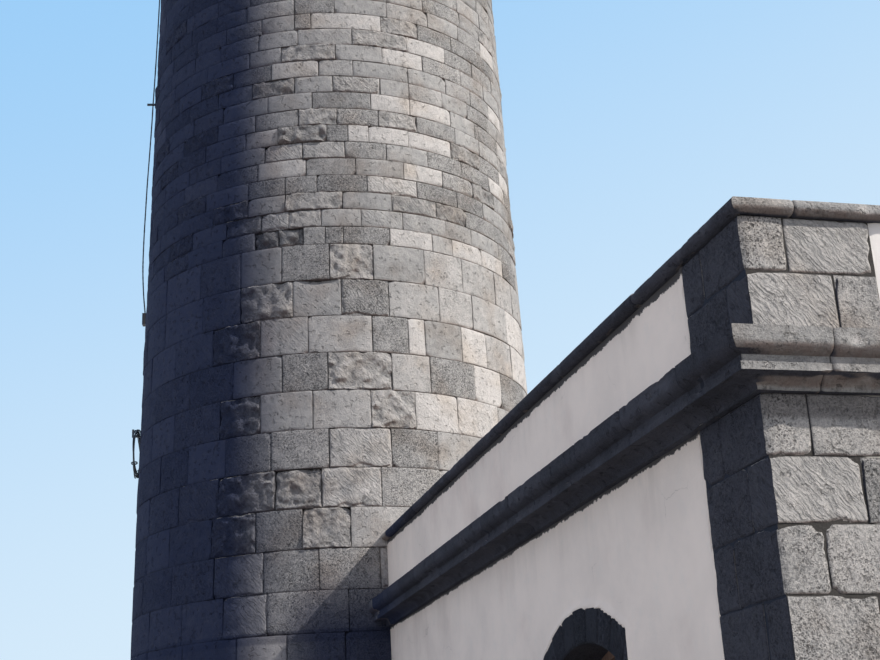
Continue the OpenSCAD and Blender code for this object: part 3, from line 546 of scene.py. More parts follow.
def shaft_courses(rng):
    """Every stone of the shaft: start and end in degrees, foot and head, course number, tall or thin."""
    size = masonry()
    rows = []
    foot = size.base_h
    for tall, count, rise, given, block in ((1, size.tall_count, size.tall, TALL_JOINTS, 0.80),
                                            (0, size.thin_count, size.thin, THIN_JOINTS, 0.66)):
        for number in range(1, count + 1):
            stones = course_joints(foot, foot + rise, given.get(number), block, rng)
            rows += [(start, end, foot, foot + rise, number, tall) for start, end in stones]
            foot += rise
    return np.array(rows)


def on_shaft(along, level, out):
    """On the shaft, whose face leans back with the level. Away from the quarter whose core is set back, no
    face dips below the solid shaft."""
    solid = np.cos(along / WRAP) < np.cos(np.radians(CORE_TURN))
    raised = np.maximum(out, 0.002) + 0.02 * np.minimum(out, 0)
    return round_wall(along, level, shaft_face(level) + np.where(solid, raised, out))


class LIGHTHOUSE_OT_shaft_stones(bpy.types.Operator):
    """Lays the ashlar of the shaft, course by course, over its dark core"""
    bl_idname = "lighthouse.shaft_stones"
    bl_label = "Shaft stones"

    def execute(self, context):
        size = masonry()
        rng = np.random.default_rng(11)
        rows = shaft_courses(rng)
        around = ((rows[:, 0] + rows[:, 1]) / 2 + 180) % 360 - 180
        # Stones that would stand inside the house, under its roof, are left out
        inside = (around > INDOORS[0]) & (around < INDOORS[1]) & (rows[:, 3] < ROOF_Z)
        rows, around = rows[~inside], around[~inside]
        start, end, foot, crown, course, tall = rows.T
        thin = tall == 0
        kinds = common_kinds(len(rows), rng, 1.0)
        kinds["relief"] *= np.where(thin, 0.75, 1)
        kinds["cushion"] *= np.where(thin, 0.5, 1)
        for lift, marks in ((~thin, TALL_MARKS), (thin, THIN_MARKS)):
            for number, states in marks.items():
                for turn, state in states.items():
                    set_state(kinds, lift & (course == number) & (start <= turn) & (end > turn), state)
        kinds["tone"] += np.where(thin, 0.09, 0.16)
        kinds["tool"] = np.where(kinds["tool"] > 1, kinds["tool"], 0.5 * kinds["tool"])
        kinds["proud"] += size.proud
        gap = (size.joint / 2 * rng.uniform(0.6, 1.6, (len(rows), 4))).T
        rects = np.stack([start * DEGREE + gap[0], end * DEGREE - gap[1], foot + gap[2] * 0.8,
                          crown - gap[3] * 0.8], 1)
        seen = ((around > FINE_TURNS[0]) & (around < FINE_TURNS[1]) & (foot > FINE_LEVELS[0])
                & (crown < FINE_LEVELS[1]))
        split = kinds["tool"] > 1.2
        for name, where, across, up in (("shaft_ashlar_low_front", seen & ~thin & ~split, 20, 12),
                                        ("shaft_ashlar_high_front", seen & thin & ~split, 16, 6),
                                        ("shaft_split_low_front", seen & ~thin & split, 48, 30),
                                        ("shaft_split_high_front", seen & thin & split, 34, 13),
                                        ("shaft_ashlar_low_back", ~seen & ~thin, 8, 5),
                                        ("shaft_ashlar_high_back", ~seen & thin, 4, 2)):
            kind = {key: value[where] for key, value in kinds.items()}
            pull = 0.62 if seen[where].all() else 0.92
            stones = stone_shells(rects[where], kind, on_shaft, across, up, 0.075, seed=21, edge_pull=pull)
            lay_piece(name, [stones], ASHLAR)
        lay_piece("shaft_core_right", [recessed_core()], MORTAR,
                  ("lower_shaft_right", "upper_shaft_right"), sharp=30)
        return {"FINISHED"}


def recessed_core():
    """A quarter of the shaft's wall, its outer face set back behind the stones: a four-cornered outline
    between the well and the battered face, carried round the axis."""
    size = masonry()
    level = size.base_h + np.array([0, 0, 1, 1]) * (size.tall * size.tall_count + size.thin * size.thin_count)
    radius = np.where([1, 0, 0, 1], size.well_r, shaft_face(level) - CORE_BACK)
    turn = np.radians(np.linspace(CORE_TURN, -CORE_TURN, 31))[:, None]
    return make_part(round_spot(turn, radius, 0, level), ring_faces(31, 4))


# Walls of the house: one path right round it

def house_walls():
    """Walls along the path, anticlockwise from the front's left end: their first corners, their ways along,
    the directions they face, and how far along the path each corner is, with the whole length at the end."""
    size = house()
    side, front, rear = size.half_l, size.front_y, size.rear_y
    corners = np.array([(-side, front), (side, front), (side, rear), (-side, rear)])
    sides = np.roll(corners, -1, 0) - corners
    lengths = np.hypot(*sides.T)
    way = sides / lengths[:, None]
    return corners, way, np.stack([way[:, 1], -way[:, 0]], 1), np.append(0, np.cumsum(lengths))


# How far from a corner of the house its arris is blunted
ARRIS = 0.012


def round_house(along, level, out):
    """On the walls of the house. Where a point is closer to a corner than the arris is blunted, the outward
    direction turns with it, from one wall's normal towards the other's."""
    corners, way, normal, reach = house_walls()
    s = np.mod(along, reach[-1])
    side = np.clip(np.searchsorted(reach, s, side="right") - 1, 0, 3)
    past, left = s - reach[side], reach[side + 1] - s
    turn0, turn1 = (np.clip(0.5 - gap / (2 * ARRIS), 0, 0.5)[..., None] for gap in (past, left))
    facing = (normal[side] * (1 - turn0 - turn1) + normal[(side - 1) % 4] * turn0
              + normal[(side + 1) % 4] * turn1)
    facing = facing / np.maximum(np.abs(facing).max(-1, keepdims=True), 1e-6)
    spot = corners[side] + way[side] * past[..., None] + facing * out[..., None]
    return spot[..., 0], spot[..., 1], level


def mitred(s, out):
    """A point beside the house path at s, moved out square to the wall, at a corner along both normals."""
    corners, way, normal, reach = house_walls()
    m = np.mod(s, reach[-1])
    side = np.clip(np.searchsorted(reach, m, side="right") - 1, 0, 3)
    base = corners[side] + way[side] * (m - reach[side])[:, None]
    facing = normal[side]
    for number, corner in enumerate(reach[1:], 1):
        hit = np.abs(s - corner) < 1e-6
        base[hit] = corners[number % 4]
        facing[hit] = normal[number % 4] + normal[number - 1]
    return base[:, :1] + facing[:, :1] * out, base[:, 1:] + facing[:, 1:] * out


def on_wall(side, along, level, depth):
    """A point at a distance along one wall, so deep behind its face: wall 0 is the front, 1 the right end,
    2 the rear and 3 the left end."""
    corners, way, normal, _ = house_walls()
    flat = corners[side] + np.multiply.outer(along, way[side]) - np.multiply.outer(depth, normal[side])
    return np.append(flat, np.broadcast_to(level, flat.shape[:-1])[..., None], -1)


def wall_box(side, along, level, depth, halves):
    """A box on a wall, as box_array takes it."""
    way = house_walls()[1][side]
    return on_wall(side, along, level, depth), halves, np.arctan2(way[1], way[0])


def window_places():
    """Wall, and distance along it, of the middle of every window, the near one first."""
    size, reach = house(), house_walls()[-1]
    spans = np.diff(reach)
    places = [(0, spans[0] - size.window_first), (0, spans[0] - size.window_next), (0, size.window_first),
              (0, size.window_next)]
    for side, marks in ((1, (size.window_first,)), (2, (size.window_first, size.window_next)),
                        (3, (size.window_first,))):
        for mark in marks:
            places += [(side, mark), (side, spans[side] - mark)]
    return places


def path_joints(gap, corner_joint, block, rng):
    """Stones from the tower's right side along the path to its left side, gap from the axis. A stone wraps
    each corner, ending corner_joint before and past it."""
    reach = house_walls()[-1]
    marks = [house().half_l + gap]
    for corner in reach[1:]:
        marks += split_span(marks[-1], corner - corner_joint[0], block, rng)
        marks.append(corner + corner_joint[1])
    marks += split_span(marks[-1], reach[-1] + house().half_l - gap, block, rng)
    return np.stack([marks[:-1], marks[1:]], 1)


# Corner stones

# Bed joints of the corner stones, from the base course to the cornice, and in the parapet
CORNER_BEDS = ((0.458, 0.881, 1.305, 1.728, 2.152, 2.575, 2.969, 3.358, 3.727), (4.049, 4.480, 4.836))
# Lengths of a corner stone on its two faces
LONG_FACE, SHORT_FACE = 0.567, 0.279
# Stones of the near corner with a marked face, three to a course from the ground up: their states
CORNER_MARKS = {19: "tooled", 20: "pitted", 22: "vesicular", 23: "mottled", 25: "tooled", 26: "mottled",
                28: "vesicular", 29: "tooled"}


def corner_rects(corner, short_first, beds):
    """Stones of one corner: in each course a stone wraps the arris, long on one face and short on the other
    by turns, and a filler stone ends each face."""
    rects = []
    for row, (foot, crown) in enumerate(zip(beds[:-1], beds[1:])):
        left, right = (SHORT_FACE, LONG_FACE) if (row + short_first) % 2 else (LONG_FACE, SHORT_FACE)
        marks = (-house().quoin_w, -left, right, house().quoin_w)
        rects += [(corner + a, corner + b, foot, crown) for a, b in zip(marks[:-1], marks[1:])]
    return rects


class LIGHTHOUSE_OT_corner_stones(bpy.types.Operator):
    """Lays the corner stones of the house and its parapet, each wrapped round the arris"""
    bl_idname = "lighthouse.corner_stones"
    bl_label = "Corner stones"

    def execute(self, context):
        rng = np.random.default_rng(23)
        reach, half = house_walls()[-1], masonry().joint / 2
        for name, picked, across, up, seed in (("corner_ashlar_near", (1,), 40, 23, 32),
                                               ("corner_ashlar_far", (4, 2, 3), 12, 6, 34)):
            rects = []
            for corner in picked:
                for beds in CORNER_BEDS:
                    rects += corner_rects(reach[corner], corner % 2, beds)
            rects = np.array(rects) + np.array([half, -half, half, -half])
            count = len(rects)
            kinds = common_kinds(count, rng, 1.0)
            kinds.update(relief=0.002 + 0.004 * rng.random(count),
                         tone=np.clip(rng.normal(0.80, 0.06, count), 0.4, 0.95),
                         cushion=rng.uniform(0.0, 0.003, count), spall=rng.uniform(0.02, 0.06, count),
                         rim=rng.uniform(0.006, 0.011, count), pits=rng.uniform(0.6, 1.0, count),
                         tool=rng.uniform(0.2, 0.5, count), proud=rng.normal(0.010, 0.002, count))
            for number, state in CORNER_MARKS.items():
                if 1 in picked:
                    set_state(kinds, np.arange(count) == number, state)
            stones = stone_shells(rects, kinds, round_house, across, up, 0.03, seed, edge_pull=0.35)
            lay_piece(name, [stones], ASHLAR)
        return {"FINISHED"}


# Mouldings carried along the walls

def resample(outline, spacing):
    """Adds points along a closed outline so that none are further apart than the spacing; corners stay."""
    made = []
    for a, b in zip(outline, np.roll(outline, -1, 0)):
        parts = max(1, int(np.ceil(np.hypot(*(b - a)) / spacing)))
        made.append(a + (b - a) * (np.arange(parts) / parts)[:, None])
    return np.concatenate(made)


def arc_points(centre, radius, start, end, parts):
    """Points of an arc round a centre, from one angle to another in degrees."""
    turn = np.radians(np.linspace(start, end, parts + 1))
    return np.stack([centre[0] + radius * np.cos(turn), centre[1] + radius * np.sin(turn)], 1)


def inward(outline):
    """At each point of an anticlockwise outline, the direction square to the line between its neighbours."""
    ahead = unit(np.roll(outline, -1, 0) - np.roll(outline, 1, 0))
    return np.stack([-ahead[:, 1], ahead[:, 0]], 1)


def moulding_parts(outline, worn, stations, columns, strength, seed):
    """Moulded stones: the outline (distance out, level) is carried along the house path from station to
    station. A column of points at a corner of the house goes out along the mitre. Each point is drawn in
    along the outline's normal by worn times (a steady loss + fractal loss + lumps), more at each joint."""
    drawn = inward(outline)
    run = np.append(0, np.cumsum(np.hypot(*(np.diff(outline, axis=0).T))))
    x0, z0, worn = outline[None, :, 0], outline[None, :, 1], worn[None, :]
    parts = []
    rng = np.random.default_rng(seed)
    for number, (start, end) in enumerate(stations):
        s = start + (end - start) * gathered(columns, 0.5)
        for corner in house_walls()[-1][1:]:
            if start + 0.01 < corner < end - 0.01:
                s = np.sort(np.append(s, [corner, corner - ARRIS, corner + ARRIS]))
                s = s[np.append(True, np.diff(s) > 1e-5)]
        away = np.minimum(s - start, end - s)[:, None]
        across = s[:, None]
        wide = rough(across * 2.2, x0 * 3 + 9, z0 * 3 + number * 0.3, seed + 2, 3)
        fine = rough(across * 13, x0 * 15, z0 * 15, seed + 3, 3)
        lump = np.maximum(rough(across * 5, x0 * 9, z0 * 9, seed + 4, 3) - 0.22, 0)
        ends = 0.006 * np.clip(1 - away / 0.012, 0, 1) ** 2 + abs(rng.normal(0, 0.0015))
        loss = (strength * worn * (0.0005 + 0.003 * (wide + 1) / 2 + 0.0012 * (fine + 1) + 0.05 * lump)
                + ends * np.minimum(worn, 1))
        x, y = mitred(s, x0 + drawn[:, 0] * loss)
        tone = 0.54 + 0.2 * rng.random() + 0.14 * wide + 1.2 * lump * np.minimum(worn, 1)
        points = np.stack([x, y, z0 + drawn[:, 1] * loss], -1)
        parts.append(make_part(points, ring_faces(len(s), len(outline)), rows_of(across, run[None, :]),
                               rows_of(tone, 0.3, np.clip(1 - away / 0.04, 0, 1), 0.15)))
    return parts


def cornice_outline():
    """Outline of the cornice, anticlockwise: cove, lower fascia, quirk, ovolo, upper fascia, and its back."""
    foot, crown = house().cornice_z, house().parapet_z
    return np.concatenate([[(-0.38, foot), (0.03, foot)], arc_points((0.118, foot), 0.071, 180, 90, 5),
                           [(0.214, foot + 0.071), (0.214, foot + 0.124), (0.198, foot + 0.124),
                            (0.198, foot + 0.164)], arc_points((0.198, foot + 0.245), 0.075, -72, 0, 5),
                           [(0.273, crown), (-0.38, crown)]])


def coping_outline():
    """Outline of the coping, anticlockwise: flat bed and top, a half round on both sides."""
    size = house()
    nose, level = size.coping_h / 2, size.coping_z + size.coping_h / 2
    inner, outer = -size.parapet_t - size.coping_out + nose, size.coping_out - nose
    return np.concatenate([arc_points((outer, level), nose, -90, 90, 10),
                           arc_points((inner, level), nose, 90, 270, 8)])


def run_moulding(name, outline, sheltered, strength, block, corner_joint, seed, replaced):
    """Carries an outline round the house as single stones, finer on the near side, over a core of mortar. The
    stones wear from the distance out that sheltered gives."""
    outline = resample(outline, 0.02)
    worn = ramp(outline[:, 0], sheltered, sheltered + 0.04)
    reach = house_walls()[-1]
    # From inside the tower's wall round the house; past the near corner the stones are fine for 3.2 m
    tower, fine, joint = 2.9, 3.2, 0.004
    marks = path_joints(tower, corner_joint, block, np.random.default_rng(seed))
    near = marks[:, 0] < reach[1] + fine
    stones = marks + np.array([joint / 2, -joint / 2])
    for label, group, columns, skip, taken in (("near", stones[near], 32, 1, replaced),
                                               ("far", stones[~near], 7, 3, ())):
        parts = moulding_parts(outline[::skip], worn[::skip], group, columns, strength, seed + 5)
        lay_piece(f"{name}_{label}", parts, MOULDINGS, taken, sharp=40)
    # Mortar behind the joints: the same outline, a little smaller all round
    smaller = 0.022
    inner = outline[::2] + smaller * inward(outline[::2])
    ends = np.concatenate([marks[:1, 0], reach[1:], marks[-1:, 1]])
    core = moulding_parts(inner, np.zeros(len(inner)), np.stack([ends[:-1], ends[1:]], 1), 2, 0, seed)
    lay_piece(f"{name}_core", core, MORTAR)


class LIGHTHOUSE_OT_cornice(bpy.types.Operator):
    """Carries the worn cornice round the house, stone by stone"""
    bl_idname = "lighthouse.cornice"
    bl_label = "Cornice"

    def execute(self, context):
        run_moulding("cornice_stones", cornice_outline(), -0.01, 1.0, 0.95, (0.55, 0.36), 41,
                     ("cornice_long", "cornice_ends"))
        return {"FINISHED"}


class LIGHTHOUSE_OT_coping(bpy.types.Operator):
    """Carries the round-nosed coping round the parapet"""
    bl_idname = "lighthouse.coping"
    bl_label = "Coping"

    def execute(self, context):
        run_moulding("coping_stones", coping_outline(), -1.0, 0.8, 0.9, (0.62, 0.34), 47,
                     ("coping_long", "coping_ends"))
        return {"FINISHED"}


# Plaster

def opening_places():
    """Distance along the path of the middle of each opening of the house, and the level of its foot."""
    size, reach = house(), house_walls()[-1]
    return [(reach[side] + mark, size.sill_z - size.sill_h) for side, mark in window_places()] + [
        (reach[2] + size.half_l, 0.0)]


def plaster_sheet(low, high, foot, crown, step, seed, ragged):
    """A coat of plaster between two joints of the wall: thickness times a smooth rise from the ragged edge,
    plus slow fractal undulation of 2 mm. Cells that lie wholly inside a stone surround are left out."""
    size = house()
    across, up = (max(4, int(round(span / step))) for span in (high - low, crown - foot))
    s = np.linspace(low, high, across + 1)[None, :]
    h = np.linspace(foot, crown, up + 1)[:, None]
    side = np.minimum(s - low, high - s)
    edge = np.minimum(side, np.minimum(h - foot + 0.4, crown - h + 0.4))
    bite = rough(s * 6, h * 6, 3.0, seed, 4)
    spread = ragged * rough(s * 3, h * 9, 8.0, seed + 1, 4) * np.clip(1 - side / 0.2, 0, 1)
    rise = ramp(edge - 0.012 * bite, -0.004, 0.02)
    out = ((size.plaster_t + 0.019 * ramp(side, 0.09, 0.02)) * rise
           + 0.0022 * rough(s * 1.3, h * 1.3, 5.0, seed + 2, 3) + 0.0009 * bite - 0.012 * (1 - rise))
    # Chips out of the lap over the surrounds, smaller where the sheet is too coarse to draw them
    chips = rough(s * 16, h * 16, 11.0, seed + 4, 4) * (0.035 if step < 0.04 else 0.008)
    middle_s, middle_h = (s[:, :-1] + s[:, 1:]) / 2, (h[:-1] + h[1:]) / 2
    keep = np.ones((up, across), bool)
    outer_r = size.arch_r + size.arch_t
    for centre, base in opening_places():
        away = np.abs(s - centre)
        past = np.maximum(away - size.stone_half, np.hypot(away, np.maximum(h - size.arch_z, 0)) - outer_r)
        past = np.maximum(past, base - h)
        held = ramp(past, -0.040 + chips, chips)
        out = (out + 0.021 * ramp(past, 0.05, 0.0)) * held - 0.012 * (1 - held)
        away = np.abs(middle_s - centre)
        top = size.arch_z + np.sqrt(np.maximum(outer_r ** 2 - away ** 2, 0))
        keep &= ~((away < size.stone_half - 0.07) & (middle_h > base + 0.07) & (middle_h < top - 0.07))
    along = np.where(s > (low + high) / 2, s + spread, s - spread)
    points = rows_of(*round_house(along, h + 0 * s, out - size.quoin_out))
    corners = cells(np.arange(len(points)).reshape(up + 1, across + 1))[keep].ravel()
    used, back = np.unique(corners, return_inverse=True)
    traits = rows_of(0.5, bite * 0.5 + 0.5, 1 - rise, 0.0)
    return make_part(points[used], (back, np.arange(0, len(back), 4)), rows_of(s, h)[used], traits[used])


class LIGHTHOUSE_OT_plaster(bpy.types.Operator):
    """Spreads the last coat of plaster over the walls and the parapet"""
    bl_idname = "lighthouse.plaster"
    bl_label = "Plaster"

    def execute(self, context):
        size, reach = house(), house_walls()[-1]
        # The coat laps over the corner stones, and stops inside the tower on the front
        edge, tower = size.quoin_w - 0.022, 2.95
        sheets = [(size.half_l + tower, reach[1] - edge, 0.029, 61, 81),
                  (edge, size.half_l - tower, 0.08, 61, 82)]
        for side in (1, 2, 3):
            sheets.append((reach[side] + edge, reach[side + 1] - edge, 0.08, 61 + 2 * side, 82 + 2 * side))
        lifts = ((masonry().base_h, size.cornice_z + 0.004, 0.018),
                 (size.parapet_z - 0.002, size.coping_z + 0.004, 0.022))
        parts = []
        for low, high, step, *seeds in sheets:
            for (foot, crown, ragged), seed in zip(lifts, seeds):
                parts.append(plaster_sheet(low, high, foot, crown, step, seed, ragged))
        lay_piece("plaster_near", parts[:2], PLASTER, sharp=70)
        lay_piece("plaster_far", parts[2:], PLASTER, sharp=70)
        return {"FINISHED"}


# Window surrounds

def arch_place(centre):
    """On an arch: the distance along is an angle times the arch's radius, the level starts at its soffit."""
    size = house()

    def place(along, level, out):
        radius, turn = size.arch_r + level, along / size.arch_r
        return round_house(centre + radius * np.sin(turn), size.arch_z + radius * np.cos(turn), out)
    return place


def surround_stones(centre, foot, across, up, rng, seed):
    """Stones of one opening: seven arch stones, then three jamb stones of uneven height on each side."""
    size = house()
    swing = np.arcsin(size.stone_half / (size.arch_r + size.arch_t)) * size.arch_r
    marks = np.linspace(-swing, swing, 8)
    half = 0.004
    arch = np.array([(a + half, b - half, half, size.arch_t - half) for a, b in zip(marks[:-1], marks[1:])])
    spring = size.arch_z + np.sqrt(size.arch_r ** 2 - size.window_half ** 2) - 0.02
    beds = np.linspace(foot, spring, 4)
    beds[1:-1] += rng.uniform(-0.05, 0.05, 2)
    jambs = []
    for a, b in zip(beds[:-1], beds[1:]):
        for low, high in ((-size.stone_half, -size.window_half), (size.window_half, size.stone_half)):
            jambs.append((centre + low + half, centre + high - half, a + half, b - half))
    parts = []
    for rects, place in ((arch, arch_place(centre)), (np.array(jambs), round_house)):
        count = len(rects)
        kinds = common_kinds(count, rng, 0.5)
        kinds.update(tone=np.clip(rng.normal(0.3, 0.03, count), 0.05, 0.6),
                     relief=0.002 + 0.004 * rng.random(count), proud=rng.normal(0.008, 0.0015, count))
        limit_chips(kinds, 0.03)
        parts.append(stone_shells(rects, kinds, place, across, up, 0.03, seed, edge_pull=0.5))
    return parts


class LIGHTHOUSE_OT_surrounds(bpy.types.Operator):
    """Faces the arches and jambs of windows and entrance with their stones"""
    bl_idname = "lighthouse.surrounds"
    bl_label = "Surrounds"

    def execute(self, context):
        size = house()
        rng = np.random.default_rng(71)
        (near, _), *others, (entrance, _) = opening_places()
        parts = surround_stones(near, size.sill_z, 14, 20, rng, 72)
        lay_piece("surround_ashlar_near", parts, ASHLAR)
        parts = []
        for number, (centre, _) in enumerate(others):
            parts += surround_stones(centre, size.sill_z, 5, 6, rng, 80 + number)
        parts += surround_stones(entrance, size.door_z, 5, 6, rng, 99)
        lay_piece("surround_ashlar_far", parts, ASHLAR)
        return {"FINISHED"}


# Base course

class LIGHTHOUSE_OT_base_course(bpy.types.Operator):
    """Faces the base course of house and tower with long low stones"""
    bl_idname = "lighthouse.base_course"
    bl_label = "Base course"

    def execute(self, context):
        rng = np.random.default_rng(91)
        foot, crown, out_by, ring = 0.004, 0.424, 0.06, 24
        pairs = path_joints(3.05, (0.5, 0.6), 1.0, rng) + np.array([0.005, -0.005])
        # No stones stand behind the steps of the entrance
        entry, steps = opening_places()[-1][0], 1.15
        pairs = pairs[(pairs[:, 1] < entry - steps) | (pairs[:, 0] > entry + steps)]
        rects = np.pad(pairs, ((0, 0), (0, 2)))
        rects[:, 2:] = foot, crown
        kinds = common_kinds(len(rects), rng, 0.6)
        kinds.update(proud=rng.normal(0.007, 0.002, len(rects)), tone=kinds["tone"] - 0.08)
        parts = [stone_shells(rects, kinds, lambda along, level, out: round_house(along, level, out + out_by),
                              10, 4, 0.03, 95)]
        turns = np.radians(np.linspace(172, 368, ring + 1)) * WRAP
        rects = rows_of(turns[:-1] + 0.006, turns[1:] - 0.006, foot, crown)
        kinds = common_kinds(ring, rng, 0.6)
        kinds["proud"] = rng.normal(0.007, 0.002, ring)

        def round_base(along, level, out):
            return round_wall(along, level, masonry().shaft_r + out_by + np.where(out > 0, 0.1, 1) * out)
        parts.append(stone_shells(rects, kinds, round_base, 12, 5, 0.03, 97))
        lay_piece("base_ashlar", parts, ASHLAR)
        return {"FINISHED"}


# Cable, coil and ironwork

def tube(path, radius, sides, closed=False, lay=0.0, depth=0.0):
    """A tube round a path: at each point a ring square to the path, of the radius times
    (1 - depth * |sin(3 (turn + lay * run))|), which presses twisted strands into it. A closed path is a flat
    loop round its own middle."""
    if closed:
        ahead, beside, first = np.roll(path, -1, 0) - np.roll(path, 1, 0), path - path.mean(0), -np.pi / 2
    else:
        ahead, beside, first = np.gradient(path, axis=0), np.array([0.13, 0.21, 0.97]), 0
    ahead = unit(ahead)
    lead = unit(np.cross(ahead, beside))
    run = np.append(0, np.cumsum(np.linalg.norm(np.diff(path, axis=0), axis=1)))[:, None]
    turn = first + even_turns(sides)[None, :]
    r = radius * (1 - depth * np.abs(np.sin(3 * (turn + lay * run))))
    points = (path[:, None] + lead[:, None] * (r * np.cos(turn))[..., None]
              + np.cross(ahead, lead)[:, None] * (r * np.sin(turn))[..., None])
    return make_part(points, ring_faces(len(path), sides, closed), rows_of(run, turn * radius))


def smooth_path(stops, parts):
    """A curve through the stops: on each stretch the four nearest are blended by the Catmull-Rom cubic."""
    stops = np.asarray(stops, float)
    padded = np.concatenate([[2 * stops[0] - stops[1]], stops, [2 * stops[-1] - stops[-2]]])
    t = (np.arange(parts) / parts)[:, None]
    made = []
    for a, b, c, d in zip(padded[:-3], padded[1:-2], padded[2:-1], padded[3:]):
        made.append(0.5 * (2 * b + (c - a) * t + (2 * a - 5 * b + 4 * c - d) * t ** 2
                           + (3 * b - a - 3 * c + d) * t ** 3))
    return np.concatenate(made + [stops[-1:]])


# Level and distance from the axis of the cable's middle
CABLE_STOPS = (
    (9.13, 3.009), (9.25, 3.022), (9.5, 3.045), (9.9, 3.064), (10.4, 3.06), (10.9, 3.045), (11.4, 3.028),
    (12.0, 3.0), (12.5, 2.978), (12.853, 2.966), (13.2, 2.952), (13.8, 2.929), (14.6, 2.905), (15.5, 2.884),
    (16.3, 2.878),
    (16.953, 2.872), (17.4, 2.862), (18.2, 2.838), (19.2, 2.812), (20.1, 2.8), (20.6, 2.796), (21.053, 2.79),
    (21.5, 2.78), (22.3, 2.757), (23.3, 2.73), (24.2, 2.718), (24.7, 2.712), (25.153, 2.708), (25.5, 2.692),
    (25.8, 2.672),
)
# Direction of the cable round the axis, its radius, and the level of the hook that its spare coil hangs on
CABLE_TURN, CABLE_R, HOOK_Z = np.radians(-99.85), 0.012, 7.24
# Radius, turns and wire of the coil, and radius and wire of the ties round it
COIL_R, COIL_TURNS, COIL_WIRE, TIE_R, TIE_WIRE = 0.347, 7, 0.008, 0.046, 0.0035


def coil_parts():
    """Turns of the coil, each a circle that wanders a little, and three ties of three rounds of wire."""
    away, level = shaft_face(HOOK_Z) + 0.09, HOOK_Z - 0.395
    angle, parts = even_turns(72), []
    for number in range(COIL_TURNS):
        radius = (COIL_R + 0.016 * np.cos(number * 2.1) + 0.010 * np.sin(angle * 2 + number)
                  + 0.008 * np.sin(3 * angle + 2 * number))
        sway = (number - 3) * 0.010 * np.cos(angle + number) + 0.010 * np.sin(angle * 2 + number * 1.7)
        loop = round_spot(CABLE_TURN, away + sway, radius * np.sin(angle), level + radius * np.cos(angle))
        parts.append(tube(loop, COIL_WIRE, 8, closed=True))
    turn = even_turns(24)
    for at in (0.0, 2.2, 4.0):
        for slip in (-0.008, 0.0, 0.008):
            reach = COIL_R + TIE_R * np.sin(turn)
            loop = round_spot(CABLE_TURN, away + TIE_R * np.cos(turn), reach * np.sin(at) + slip * np.cos(at),
                              level + reach * np.cos(at) - slip * np.sin(at))
            parts.append(tube(loop, TIE_WIRE, 6, closed=True))
    return parts


class LIGHTHOUSE_OT_conductor(bpy.types.Operator):
    """Runs the galvanised cable down the shaft and hangs its spare coil"""
    bl_idname = "lighthouse.conductor"
    bl_label = "Down conductor"

    def execute(self, context):
        level, away = smooth_path(CABLE_STOPS, 12).T
        strand = tube(round_spot(CABLE_TURN, away, 0, level), CABLE_R, 12, lay=40.0, depth=0.22)
        lay_piece("cable_strand", [strand], ZINC, ("conductor_cable",), sharp=80)
        lay_piece("coil_strands", coil_parts(), ZINC, ("spare_coil",), sharp=80)
        return {"FINISHED"}


# Small solids: whole arrays of boxes and of round heads

# Corners of a blunt box seen from above: the side in x and y, and which way the blunting moves each
BOX_RING = np.array([(1, -1, 0, 1), (1, 1, 0, -1), (1, 1, -1, 0), (-1, 1, 1, 0), (-1, 1, 0, -1),
                     (-1, -1, 0, 1), (-1, -1, 1, 0), (1, -1, -1, 0)], float)
# Its four levels: below or above the middle, how the blunting moves it, and whether it is drawn in
BOX_LAYERS = np.array([(-1, 0, 1), (-1, 1, 0), (1, -1, 0), (1, 0, 1)], float)


def box_array(boxes, soften):
    """Boxes with blunt edges, as one part: each has a centre, half sizes and a turn about +Z.
    A box is a stack of four rings of eight corners, the outer two drawn in by the blunting, and two ends."""
    centres, halves, turns = (np.array(column, float) for column in zip(*boxes))
    half_x, half_y, half_z = halves.T[:, :, None, None]
    below, shift, drawn = BOX_LAYERS.T[:, None, :, None]
    x = BOX_RING[:, 0] * half_x + BOX_RING[:, 2] * soften
    y = BOX_RING[:, 1] * half_y + BOX_RING[:, 3] * soften
    x, y = x - np.sign(x) * drawn * soften, y - np.sign(y) * drawn * soften
    z = below * half_z + shift * soften + 0 * x
    c, s = np.cos(turns)[:, None, None], np.sin(turns)[:, None, None]
    points = np.stack([x * c - y * s, x * s + y * c, z], -1) + centres[:, None, None]
    return repeat_part(points.reshape(len(centres), 32, 3), ring_faces(4, 8))


def round_heads(spots, facing, radius, height):
    """Rivet and bolt heads: a low dome of two rings of six on each spot, along the facing direction."""
    lead = unit(np.cross(facing, np.array([0.11, 0.07, 0.99])))
    turn = even_turns(6)[:, None]
    ring = radius * (np.cos(turn) * lead + np.sin(turn) * np.cross(facing, lead))
    rings = [ring * share + facing * height * rise for share, rise in ((1.0, -0.15), (0.78, 0.72))]
    points = spots[:, None] + np.concatenate([*rings, [facing * height]])
    corners, starts = ring_faces(2, 6)
    cap = np.stack([np.arange(6, 12), np.roll(np.arange(6, 12), -1), np.full(6, 12)], -1)
    corners = np.concatenate([corners[:24], cap.ravel(), corners[24:30]])
    return repeat_part(points, (corners, np.concatenate([starts[:6], np.arange(24, 43, 3)])))


# Bars, hinges and irons of windows and doors

